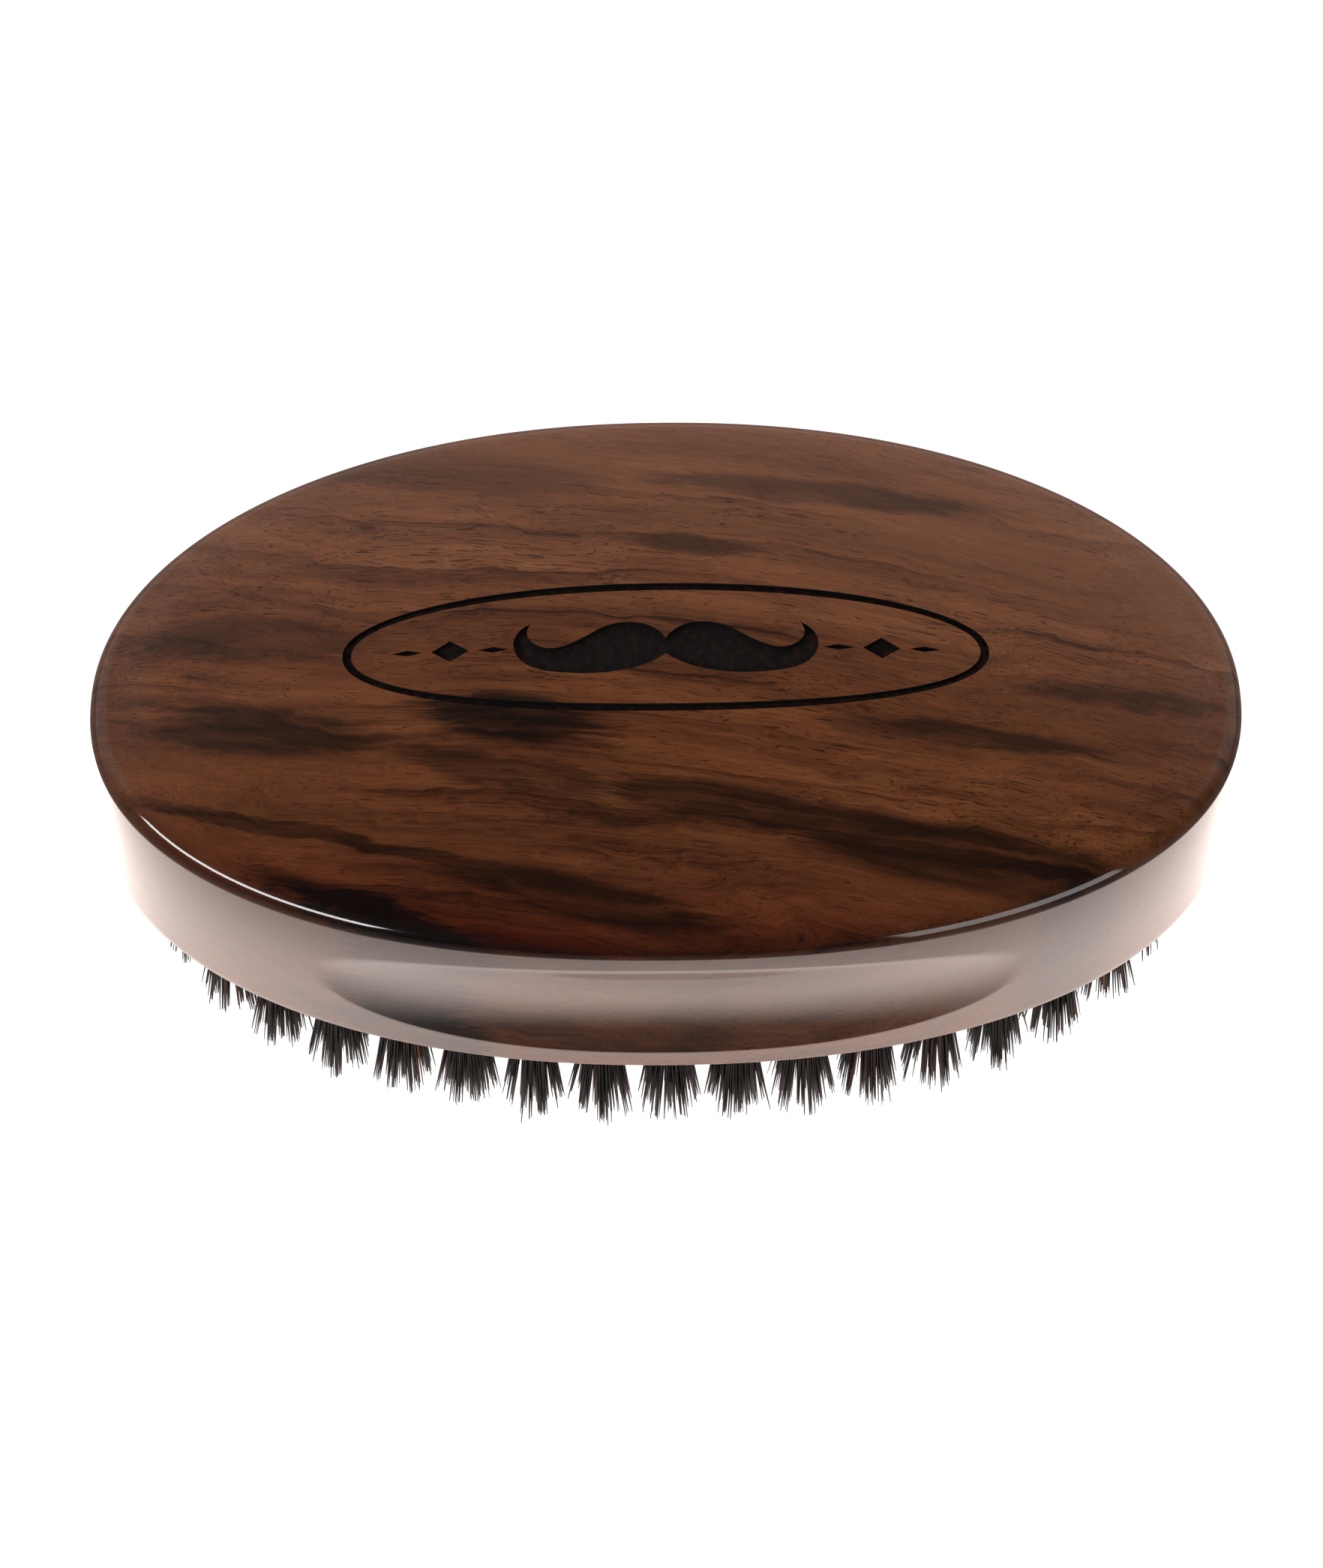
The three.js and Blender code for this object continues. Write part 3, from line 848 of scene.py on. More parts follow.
@dataclass
class Emblem:
    """The engraving's flat shapes: an oval ring round a moustache, with a lozenge and two rules each side."""

    shift: float = 2.5
    ring: Oval = Oval(33, 8)
    ring_steps: int = 128
    line: float = 0.9
    depth: float = 0.5
    lozenge_place: float = 22
    lozenge: tuple[float, float] = (1.9, 1.3)
    rule: tuple[float, float] = (1.6, 0.35)
    rule_offset: float = 4.4
    height: float = 8.0
    cell: float = 2.5
    curve_steps: int = 12
    # The moustache's right half from its middle top to its middle bottom: knots with their handles, in mm.
    half_moustache: tuple[tuple[tuple[float, float], ...], ...] = (
        ((0, 1), (0, 1), (1, 3.1)),
        ((4.2, 3.8), (6.8, 2.3), (9.2, 0.7)),
        ((11.2, -0.7), (13, 0.3), (14.3, 1)),
        ((14.5, 2.2), (13.7, 3.1), (16.6, 1.9)),
        ((16, -1.9), (12.6, -2.7), (8.6, -3.7)),
        ((3, -3.5), (0, -0.9), (0, -0.9)),
    )

    def raise_flat(self, obj: bpy.types.Object) -> bpy.types.Object:
        """Cuts a flat mesh into small cells, which can follow the dome, and extrudes it into a closed plate.

        Args:
            obj: the flat mesh at z = 0.

        Returns:
            The same object, as a plate.
        """
        take(obj)
        bpy.ops.object.mode_set(mode="EDIT")
        reach = int(self.ring.half_length / self.cell)
        for axis in ((1, 0, 0), (0, 1, 0)):
            for number in range(-reach, reach + 1):
                place = Vector(axis) * number * self.cell * MM
                bpy.ops.mesh.select_all(action="SELECT")
                bpy.ops.mesh.bisect(plane_co=place, plane_no=axis)
        bpy.ops.mesh.select_all(action="SELECT")
        bpy.ops.mesh.extrude_region_move(TRANSFORM_OT_translate={"value": (0, 0, self.height * MM)})
        close_body(obj)
        return obj

    def ring_plate(self) -> bpy.types.Object:
        """Makes the oval ring.

        Returns:
            The ring as a plate.
        """
        obj = start_circle("ring_plate", self.ring_steps, "NOTHING")
        place_ring(obj, lambda angle: Vector((*self.ring.point(angle), 0)))
        bpy.ops.mesh.extrude_edges_move()
        inner = self.ring.inset(self.line)
        place_ring(obj, lambda angle: Vector((*inner.point(angle), 0)))
        return self.raise_flat(obj)

    def moustache_plate(self) -> bpy.types.Object:
        """Makes the moustache from a filled Bezier outline.

        Returns:
            The moustache as a plate.
        """
        deselect()
        right = list(self.half_moustache)
        left = [tuple((-x, y) for x, y in reversed(knot)) for knot in reversed(right[1:-1])]
        first, last = right[0], right[-1]
        knots = [
            ((-first[2][0], first[2][1]), first[1], first[2]),
            *right[1:-1],
            (last[0], last[1], (-last[0][0], last[0][1])),
            *left,
        ]
        bpy.ops.curve.primitive_bezier_circle_add()
        obj = bpy.context.object
        curve = obj.data
        curve.dimensions = "2D"
        curve.fill_mode = "BOTH"
        curve.resolution_u = self.curve_steps
        curve.splines.clear()
        spline = curve.splines.new("BEZIER")
        spline.bezier_points.add(len(knots) - 1)
        spline.use_cyclic_u = True
        for point, (before, place, after) in zip(spline.bezier_points, knots):
            point.handle_left_type = point.handle_right_type = "FREE"
            point.co = (place[0] * MM, place[1] * MM, 0)
            point.handle_left = (before[0] * MM, before[1] * MM, 0)
            point.handle_right = (after[0] * MM, after[1] * MM, 0)
        take(obj)
        bpy.ops.object.convert(target="MESH")
        bpy.ops.object.mode_set(mode="EDIT")
        bpy.ops.mesh.select_all(action="SELECT")
        bpy.ops.mesh.remove_doubles(threshold=0.01 * MM)
        bpy.ops.object.mode_set(mode="OBJECT")
        return self.raise_flat(obj)

    def diamond_plate(self, half_length: float, half_width: float) -> bpy.types.Object:
        """Makes a lozenge, or a rule as a long narrow one.

        Args:
            half_length: half its length in mm.
            half_width: half its width in mm.

        Returns:
            The lozenge as a plate about the emblem's middle.
        """
        deselect()
        bpy.ops.mesh.primitive_circle_add(vertices=4, radius=MM, fill_type="NGON")
        obj = bpy.context.object
        obj.scale = (half_length, half_width, 1)
        settle(obj)
        return self.raise_flat(obj)

    def cutter(self, top: Callable[[float, float], float]) -> bpy.types.Object:
        """Makes the shape that cuts the emblem.

        Args:
            top: the height of the block's top at x and y, in mm.

        Returns:
            The cutter, whose floor follows the top at the engraving's depth.
        """
        plates = [self.ring_plate(), self.moustache_plate()]
        lozenge, rule = self.diamond_plate(*self.lozenge), self.diamond_plate(*self.rule)
        for middle in (-self.lozenge_place, self.lozenge_place):
            plates.append(copy_to(lozenge, middle, 0))
            plates.append(copy_to(rule, middle - self.rule_offset, 0))
            plates.append(copy_to(rule, middle + self.rule_offset, 0))
        bpy.data.objects.remove(lozenge)
        bpy.data.objects.remove(rule)
        cutter = join(plates, "emblem_cutter")
        cutter.location = (0, self.shift * MM, 0)
        settle(cutter)
        for vertex in cutter.data.vertices:
            x, y, z = vertex.co / MM
            rise = self.height if z > self.height / 2 else -self.depth
            vertex.co.z = (top(x, y) + rise) * MM
        return cutter


@dataclass
class HandleBlock:
    """The walnut block: crowned top, rounded top edge, finger grooves, and a recess for the bristle board."""

    wall_height: float = 22.07
    side_taper: float = 0.9
    foot_round: float = 0.4
    top_round: float = 2.5
    arris_degrees: float = 18
    crown_drop: float = 3.6
    dome_rise: float = 1.2
    groove_depth: float = 1.5
    groove_deepest: float = 0.52
    groove_ease: float = 1.1
    groove_half_length: float = 35.5
    groove_middle: float = 11.3
    groove_half_height: float = 8.3
    groove_upper_power: float = 2.0
    groove_lower_power: float = 3.0
    recess_inset: float = 4.5
    recess_depth: float = 5.2
    recess_eased_edge: float = 0.3
    emblem: Emblem = field(default_factory=Emblem)
    steps: int = 384
    foot_rings: int = 6
    wall_rings: int = 50
    edge_rings: int = 12
    dome_rings: int = 24
    # The wall's rings below the groove, and above it, take this share each; those between crowd downwards.
    plain_share: float = 0.2
    crowding: float = 1.6
    least_spread: float = 4.0

    def __post_init__(self) -> None:
        """Takes the outline and the foot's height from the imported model."""
        low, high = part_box("handle_block")
        self.body = Oval(high.x / MM, high.y / MM)
        self.foot_z = low.z / MM
        self.arris = math.radians(self.arris_degrees)
        self.edge_angle = math.pi / 2 - math.atan(2 * self.dome_rise / self.body.half_width)

    def wall_top(self, x: float) -> float:
        """The height, at a place along the brush, where the rounded top edge starts."""
        return self.foot_z + self.wall_height - self.crown_drop * (x / self.body.half_length) ** 2

    def groove_reach(self, x: float, power: float, least: float = 0.0) -> float:
        """Measures the finger groove's height.

        Args:
            x: the place along the brush.
            power: the upper or the lower half's power.
            least: the least value that is given.

        Returns:
            How far above or below its long axis the groove reaches.
        """
        along = min(abs(x / self.groove_half_length), 1)
        return max(self.groove_half_height * (1 - along**power) ** (1 / power), least)

    def groove(self, x: float, height: float) -> float:
        """Works out the finger groove, which has a soft upper lip and a firm lower lip.

        Args:
            x: the place along the brush.
            height: the height above the foot.

        Returns:
            How deep the groove is there.
        """
        top = self.groove_middle + self.groove_reach(x, self.groove_upper_power)
        bottom = self.groove_middle - self.groove_reach(x, self.groove_lower_power)
        if abs(x) >= self.groove_half_length or not bottom < height < top:
            return 0.0
        down = (top - height) / (top - bottom)
        lower_ease = self.groove_ease * (1 - self.groove_deepest) / self.groove_deepest
        upper = (down / self.groove_deepest) ** self.groove_ease
        lower = ((1 - down) / (1 - self.groove_deepest)) ** lower_ease
        return self.groove_depth * (1 - (x / self.groove_half_length) ** 2) * upper * lower

    def wall_height_at(self, x: float, up: float) -> float:
        """Spreads the wall's rings so that some follow the groove's two lips.

        Args:
            x: the place along the brush.
            up: the ring's share of the way up, from 0 at the foot to 1 at the rounded edge.

        Returns:
            The ring's height above the foot.
        """
        bottom = self.groove_middle - self.groove_reach(x, self.groove_lower_power, self.least_spread)
        top = self.groove_middle + self.groove_reach(x, self.groove_upper_power, self.least_spread)
        plain = self.plain_share
        if up < plain:
            return self.foot_round + (bottom - self.foot_round) * up / plain
        if up < 1 - plain:
            # Closer rings near the lower lip, where the groove turns most.
            return bottom + (top - bottom) * ((up - plain) / (1 - 2 * plain)) ** self.crowding
        edge = self.wall_top(x) - self.foot_z
        return top + (edge - top) * (up - (1 - plain)) / plain

    def wall_place(self, x: float, taper: float, up: float) -> tuple[float, float]:
        """Places a point of the wall.

        Args:
            x: the place along the brush.
            taper: how far the wall draws in towards its foot there.
            up: the ring's share of the way up.

        Returns:
            The point's inset and height.
        """
        height = self.wall_height_at(x, up)
        share = height / (self.wall_top(x) - self.foot_z)
        return taper * (1 - share) + self.groove(x, height), self.foot_z + height

    def edge_place(self, angle: float) -> tuple[float, float]:
        """Places a point of the rounded top edge.

        Args:
            angle: how far the edge has turned in from the upright.

        Returns:
            The point's inset and its rise above the arris.
        """
        inset = self.top_round * (math.cos(self.arris) - math.cos(angle))
        rise = self.top_round * (math.sin(angle) - math.sin(self.arris))
        return inset, rise

    def side_ring(self, place: Callable[[float, float], tuple[float, float]]) -> Ring:
        """Makes a ring round the block.

        Args:
            place: the inset from the outline and the height, for a place along the brush and the taper there.

        Returns:
            The ring.
        """

        def ring(angle: float) -> Vector:
            """The ring's point at an angle."""
            x, y = self.body.point(angle)
            normal = self.body.normal(x, y)
            # The long sides draw in towards the foot, and the two ends stand upright.
            depth, z = place(x, self.side_taper * normal.y**2)
            point = Vector((x, y, 0)) - depth * normal
            point.z = z
            return point

        return ring

    def top_ring(self, size: float) -> Ring:
        """Makes a ring on the domed top.

        Args:
            size: the ring's size as a share of the rim's.

        Returns:
            The ring.
        """
        rim_inset, rim_rise = self.edge_place(self.edge_angle)

        def ring(angle: float) -> Vector:
            """The ring's point at an angle."""
            x, y = self.body.point(angle)
            point = (Vector((x, y, 0)) - rim_inset * self.body.normal(x, y)) * size
            point.z = self.wall_top(point.x) + rim_rise + self.dome_rise * (1 - size * size)
            return point

        return ring

    def top_height(self, x: float, y: float) -> float:
        """Works out the height of the domed top.

        Args:
            x: the place along the brush.
            y: the place across the brush.

        Returns:
            The height there.
        """
        rim_inset, rim_rise = self.edge_place(self.edge_angle)
        size = self.body.inset(rim_inset).size_at(x, y)
        return self.wall_top(x) + rim_rise + self.dome_rise * (1 - size * size)

    def recess_ring(self, widening: float, height: float) -> Ring:
        """Makes a ring of the recess's wall.

        Args:
            widening: how far outside the recess's outline the ring lies.
            height: the ring's height above the foot.

        Returns:
            The ring.
        """
        oval = self.body.inset(self.recess_inset - widening)
        return lambda angle: Vector((*oval.point(angle), self.foot_z + height))

    def rings(self) -> Iterable[Ring]:
        """Goes from the recess's ceiling round the foot and up the wall to the middle of the top.

        Yields:
            The block's rings in order.
        """
        yield self.recess_ring(0, self.recess_depth)
        yield self.recess_ring(0, self.recess_eased_edge)
        yield self.recess_ring(self.recess_eased_edge, 0)
        for i in range(self.foot_rings):
            angle = math.pi / 2 * i / self.foot_rings
            eased = self.foot_round * (1 - math.sin(angle))
            z = self.foot_z + self.foot_round * (1 - math.cos(angle))
            yield self.side_ring(lambda x, taper, eased=eased, z=z: (taper + eased, z))
        for i in range(self.wall_rings + 1):
            yield self.side_ring(lambda x, taper, up=i / self.wall_rings: self.wall_place(x, taper, up))
        for i in range(1, self.edge_rings + 1):
            turned = self.arris + (self.edge_angle - self.arris) * i / self.edge_rings
            depth, rise = self.edge_place(turned)
            yield self.side_ring(lambda x, taper, depth=depth, rise=rise: (depth, self.wall_top(x) + rise))
        for i in range(1, self.dome_rings):
            yield self.top_ring(1 - i / self.dome_rings)

    def build(self, wood: bpy.types.Material, char: bpy.types.Material) -> bpy.types.Object:
        """Models the block and dresses it.

        Args:
            wood: the finish of the block.
            char: the finish of the engraving.

        Returns:
            The block.
        """
        block = loft("walnut_block", self.rings(), self.steps, pointed=True)
        block.data.materials.append(wood)
        cutter = self.emblem.cutter(self.top_height)
        cutter.data.materials.clear()
        cutter.data.materials.append(char)
        cut(block, cutter)
        shade(block, 40)
        dress(block, wood, Slot.WALNUT)
        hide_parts("handle_block")
        return block


# ---------------------------------------------------------------- rows of tufts


@dataclass
class Row:
    """One row of tufts: where they stand, whether it is a loop, its CAD nodes, and how far its tips splay."""

    name: str
    points: list[tuple[float, float]]
    closed: bool
    nodes: list[str]
    splay: float = 0.0

    def turn(self, number: int) -> float:
        """Works out the direction of the wire through a tuft.

        Args:
            number: the tuft's number from 0.

        Returns:
            The wire's angle from +X.
        """
        count = len(self.points)
        if self.closed:
            before, after = self.points[number - 1], self.points[(number + 1) % count]
        else:
            before, after = self.points[max(number - 1, 0)], self.points[min(number + 1, count - 1)]
        return math.atan2(after[1] - before[1], after[0] - before[0])

    def lean(self, number: int) -> float:
        """How far a tuft's tips stand out from the brush: most in the middle of the long sides."""
        return self.splay * math.cos(self.turn(number)) ** 4


@dataclass
class Hair:
    """A single bristle: a three-sided tapering hair of unit size, which every tuft copies."""

    TINT = "tint"
    ALONG = "along"

    thickness: float = 0.34
    tip_thickness: float = 0.09
    taper_start: float = 0.8
    arch_steps: int = 2
    flare_steps: int = 3

    @property
    def joints(self) -> int:
        """How many stretches the hair has, from the fold over the wire to the tip."""
        return self.arch_steps + 1 + self.flare_steps

    def model(self) -> tuple[np.ndarray, np.ndarray]:
        """Models the hair once.

        Returns:
            The points, with the joint's number as the height, and the faces.
        """
        deselect()
        bpy.ops.mesh.primitive_cylinder_add(vertices=3, radius=1, depth=1, location=(0, 0, 0.5))
        obj = bpy.context.object
        bpy.ops.object.mode_set(mode="EDIT")
        bpy.ops.mesh.select_all(action="DESELECT")
        mesh = bmesh.from_edit_mesh(obj.data)
        for edge in mesh.edges:
            edge.select = abs(edge.verts[0].co.z - edge.verts[1].co.z) > 0.5
        bmesh.update_edit_mesh(obj.data)
        bpy.ops.mesh.subdivide(number_cuts=self.joints - 1)
        bpy.ops.mesh.select_all(action="SELECT")
        bpy.ops.mesh.quads_convert_to_tris()
        bpy.ops.object.mode_set(mode="OBJECT")
        settle(obj)
        points = np.array([vertex.co for vertex in obj.data.vertices])
        points[:, 2] = np.rint(points[:, 2] * self.joints)
        faces = np.array([face.vertices for face in obj.data.polygons])
        bpy.data.objects.remove(obj)
        return points, faces


@dataclass
class Bristles:
    """The tufts: each a bundle of hairs folded over the draw wire, that fans out and gathers in locks."""

    foot_z: float
    wire_z: float
    root_radius: float = 1.5
    tip_radius: float = 3.4
    wire_clearance: float = 0.42
    arch_flatness: float = 0.8
    flare_power: float = 1.3
    hairs: int = 150
    locks: int = 14
    scatter: float = 0.35
    stray_share: float = 0.05
    hair: Hair = field(default_factory=Hair)
    seed: int = 5

    def __post_init__(self) -> None:
        """Models the hair that the tufts copy."""
        self.shape, self.faces = self.hair.model()

    def disc(self, rng: np.random.Generator, count: int) -> np.ndarray:
        """Scatters points evenly over a disc of radius 1.

        Args:
            rng: the tuft's own random numbers.
            count: how many points.

        Returns:
            The points' x and y.
        """
        number = np.arange(count) + 0.5
        radius = np.sqrt(number / count)
        golden_angle = math.pi * (3 - math.sqrt(5))
        angle = number * golden_angle + rng.uniform(0, math.tau)
        points = np.stack([radius * np.cos(angle), radius * np.sin(angle)], 1)
        return points + rng.normal(0, self.scatter / math.sqrt(count), points.shape)

    def tips(self, rng: np.random.Generator, root: np.ndarray) -> tuple[np.ndarray, np.ndarray]:
        """Fans the hairs out, and gathers most of them in pointed locks.

        Args:
            rng: the tuft's own random numbers.
            root: where each hair stands in the tuft's root, on a disc of radius 1.

        Returns:
            The tips' places about the tuft's axis and their reach below the foot, in mm.
        """
        locks = self.disc(rng, self.locks)
        lock_of = np.argmin(np.linalg.norm(root[:, None] - locks[None], axis=2), axis=1)
        lock_tip = locks * self.tip_radius * rng.uniform(0.9, 1.12, (self.locks, 1))
        lock_reach = rng.uniform(0.92, 1.05, self.locks)
        gathered = rng.uniform(0.2, 0.75, (self.hairs, 1))
        spread = root * self.tip_radius * rng.normal(1.0, 0.08, (self.hairs, 1))
        stray = rng.random((self.hairs, 1)) < self.stray_share
        tip = np.where(stray, spread * 1.1, spread + (lock_tip[lock_of] - spread) * gathered)
        reach = lock_reach[lock_of] * rng.uniform(0.93, 1.03, self.hairs)
        return tip, self.foot_z * np.minimum(reach, 1.0)

    def routes(self, rng: np.random.Generator, lean: float) -> np.ndarray:
        """Works out the middle line of every hair of a tuft at the origin, with its wire along X.

        Args:
            rng: the tuft's own random numbers.
            lean: how far the tips stand out from the brush's middle, in mm.

        Returns:
            For each hair, the points from the fold to the tip, in mm.
        """
        root = self.disc(rng, self.hairs)
        tip, reach = self.tips(rng, root)
        tip = tip - (0, lean)
        mouth = root * self.root_radius
        side = np.where(mouth[:, 1] < 0, -1.0, 1.0)
        arch = self.wire_clearance + np.abs(mouth[:, 1]) * (1 - self.wire_clearance / self.root_radius)
        route = np.zeros((self.hairs, self.hair.joints + 1, 3))
        for i in range(self.hair.arch_steps + 1):
            angle = math.pi / 2 * i / self.hair.arch_steps
            route[:, i, 0] = mouth[:, 0]
            route[:, i, 1] = side * arch * math.sin(angle)
            route[:, i, 2] = self.wire_z + arch * math.cos(angle) * self.arch_flatness
        for i in range(self.hair.flare_steps + 1):
            share = i / self.hair.flare_steps
            step = self.hair.arch_steps + 1 + i
            route[:, step, :2] = mouth + (tip - mouth) * share**self.flare_power
            route[:, step, 2] = self.foot_z - reach * share
        return route

    def tuft(self, rng: np.random.Generator, lean: float) -> tuple[np.ndarray, np.ndarray, np.ndarray]:
        """Copies the hair along every route of a tuft.

        Args:
            rng: the tuft's own random numbers.
            lean: how far the tips stand out from the brush's middle, in mm.

        Returns:
            The points in mm, and each point's tint and place along its hair.
        """
        route = self.routes(rng, lean)
        ahead = np.gradient(route, axis=1)
        ahead /= np.linalg.norm(ahead, axis=2, keepdims=True)
        along_wire = np.array([1.0, 0.0, 0.0])
        across = np.cross(ahead, along_wire)
        across /= np.linalg.norm(across, axis=2, keepdims=True)
        joint = self.shape[:, 2].astype(int)
        share = np.clip(joint / self.hair.joints, 0, 1)
        thickness = [self.hair.thickness, self.hair.thickness, self.hair.tip_thickness]
        radius = np.interp(share, [0, self.hair.taper_start, 1], thickness) / 2
        width = rng.uniform(0.75, 1.2, (self.hairs, 1, 1))
        offset = self.shape[None, :, :1] * along_wire + self.shape[None, :, 1:2] * across[:, joint]
        points = route[:, joint] + offset * radius[None, :, None] * width
        tint = np.repeat(rng.random(self.hairs), len(joint))
        return points.reshape(-1, 3), tint, np.tile(share, self.hairs)

    def build(
        self,
        name: str,
        places: list[tuple[float, float, float, float]],
        first: int,
        finish: bpy.types.Material,
    ) -> bpy.types.Object:
        """Makes one piece that holds the tufts at some places.

        Args:
            name: the piece's name.
            places: x and y in mm, the wire's direction and the lean in mm, for each tuft.
            first: the number of the first tuft, which sets its random numbers.
            finish: the hairs' material.

        Returns:
            The piece.
        """
        points, tints, shares, faces = [], [], [], []
        for number, (x, y, turn, lean) in enumerate(places):
            rng = np.random.default_rng((self.seed, first + number))
            local, tint, share = self.tuft(rng, lean)
            c, s = math.cos(turn), math.sin(turn)
            turned = local @ np.array([[c, s, 0], [-s, c, 0], [0, 0, 1]]) + (x, y, 0)
            # No tip passes the plane that the brush rests on.
            turned[:, 2] = np.maximum(turned[:, 2], 0)
            copies = np.arange(self.hairs)[:, None, None] * len(self.shape) + self.faces[None]
            points.append(turned)
            tints.append(tint)
            shares.append(share)
            faces.append(copies.reshape(-1, 3) + number * len(turned))
        mesh = bpy.data.meshes.new(name)
        mesh.from_pydata((np.concatenate(points) * MM).tolist(), [], np.concatenate(faces).tolist())
        for label, values in ((Hair.TINT, tints), (Hair.ALONG, shares)):
            layer = mesh.attributes.new(label, "FLOAT", "POINT")
            layer.data.foreach_set("value", np.concatenate(values))
        obj = bpy.data.objects.new(name, mesh)
        bpy.context.scene.collection.objects.link(obj)
        take(obj)
        bpy.ops.object.shade_smooth()
        dress(obj, finish, Slot.BRISTLE)
        return obj


@dataclass
class DrawWires:
    """The draw wires: taut from tuft to tuft, each along its own row."""

    wire_z: float
    radius: float = 0.3
    tail: float = 0.35
    round_steps: int = 2

    def route(self, row: Row) -> list[Vector]:
        """Lays out a row's wire.

        Args:
            row: the row of tufts.

        Returns:
            The wire's points in mm, with a short tail past the first and the last tuft.
        """
        points = [Vector((x, y, self.wire_z)) for x, y in row.points]
        if row.closed:
            start, end = points[-1], points[0]
        else:
            start, end = 2 * points[0] - points[1], 2 * points[-1] - points[-2]
        return [points[0].lerp(start, self.tail), *points, points[-1].lerp(end, self.tail)]

    def rod(
        self, name: str, points: list[Vector], closed: bool, radius: float, rise: float
    ) -> bpy.types.Object:
        """Makes a round-edged rod through points.

        Args:
            name: the object's name.
            points: its middle line in mm.
            closed: whether it is a loop.
            radius: half its thickness.
            rise: how far its round top is drawn up from the middle line, and its round bottom down.

        Returns:
            The rod as a mesh.
        """
        curve = bpy.data.curves.new(name, "CURVE")
        curve.dimensions = "3D"
        curve.bevel_depth = radius * MM
        curve.bevel_resolution = self.round_steps
        curve.extrude = rise * MM
        curve.use_fill_caps = True
        spline = curve.splines.new("POLY")
        spline.points.add(len(points) - 1)
        spline.use_cyclic_u = closed
        for point, place in zip(spline.points, points):
            point.co = (*(place * MM), 1)
        obj = bpy.data.objects.new(name, curve)
        bpy.context.scene.collection.objects.link(obj)
        take(obj)
        bpy.ops.object.convert(target="MESH")
        bpy.ops.object.mode_set(mode="EDIT")
        bpy.ops.mesh.select_all(action="SELECT")
        bpy.ops.mesh.remove_doubles(threshold=0.001 * MM)
        close_body(obj)
        return obj

    def build(self, row: Row, finish: bpy.types.Material) -> bpy.types.Object:
        """Makes a row's wire and dresses it.

        Args:
            row: the row of tufts.
            finish: the wire's material.

        Returns:
            The wire.
        """
        wire = self.rod(f"{row.name}_wire", self.route(row), closed=False, radius=self.radius, rise=0)
        shade(wire, 50)
        dress(wire, finish, Slot.WIRE)
        return wire


@dataclass
class BristleBoard:
    """The oval board let into the underside, with a hole for each tuft and a channel for each wire."""

    block: HandleBlock
    gap: float = 0.15
    eased_edge: float = 0.25
    thickness: float = 4.8
    steps: int = 256
    hole_radius: float = 1.75
    hole_sides: int = 20
    wire_depth: float = 1.3
    channel_radius: float = 0.55
    channel_rise: float = 0.9

    @property
    def wire_z(self) -> float:
        """The height of the draw wires' middle lines."""
        return self.block.foot_z + self.thickness - self.wire_depth

    def holes(self, rows: list[Row]) -> bpy.types.Object:
        """Models the rod that cuts a tuft's hole once, and copies it to every tuft.

        Args:
            rows: the rows of tufts.

        Returns:
            All the rods in one mesh.
        """
        deselect()
        bpy.ops.mesh.primitive_cylinder_add(
            vertices=self.hole_sides,
            radius=self.hole_radius * MM,
            depth=2 * self.thickness * MM,
            location=(0, 0, (self.block.foot_z + self.thickness / 2) * MM),
        )
        rod = bpy.context.object
        settle(rod)
        copies = [copy_to(rod, x, y) for row in rows for x, y in row.points]
        bpy.data.objects.remove(rod)
        holes = join(copies, "holes")
        settle(holes)
        return holes

    def channel(self, row: Row, wires: DrawWires) -> bpy.types.Object:
        """Makes the shape that cuts a row's channel from the board's back.

        Args:
            row: the row of tufts.
            wires: the draw wires, one of which lies at the channel's bottom.

        Returns:
            The shape.
        """
        line = [Vector((x, y, self.wire_z)) for x, y in row.points] if row.closed else wires.route(row)
        # The shape's round bottom lies under the wire, and its top stands clear of the board's back.
        lifted = [point + Vector((0, 0, self.channel_rise)) for point in line]
        return wires.rod("channel", lifted, row.closed, self.channel_radius, self.channel_rise)

    def build(self, rows: list[Row], wires: DrawWires, finish: bpy.types.Material) -> bpy.types.Object:
        """Models the board and dresses it.

        Args:
            rows: the rows of tufts.
            wires: the draw wires.
            finish: the board's material.

        Returns:
            The board.
        """
        oval = self.block.body.inset(self.block.recess_inset + self.gap)
        foot_z = self.block.foot_z
        profile = (
            (0.0, foot_z + self.thickness),
            (0.0, foot_z + self.eased_edge),
            (self.eased_edge, foot_z),
        )
        rings = [lambda a, d=depth, z=z: Vector((*oval.inset(d).point(a), z)) for depth, z in profile]
        board = loft("bristle_board_oiled", rings, self.steps)
        board.data.materials.append(finish)
        cut(board, self.holes(rows))
        for row in rows:
            cut(board, self.channel(row, wires))
        shade(board, 30)
        dress(board, finish, Slot.BOARD)
        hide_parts("bristle_board")
        return board


# ---------------------------------------------------------------- studio


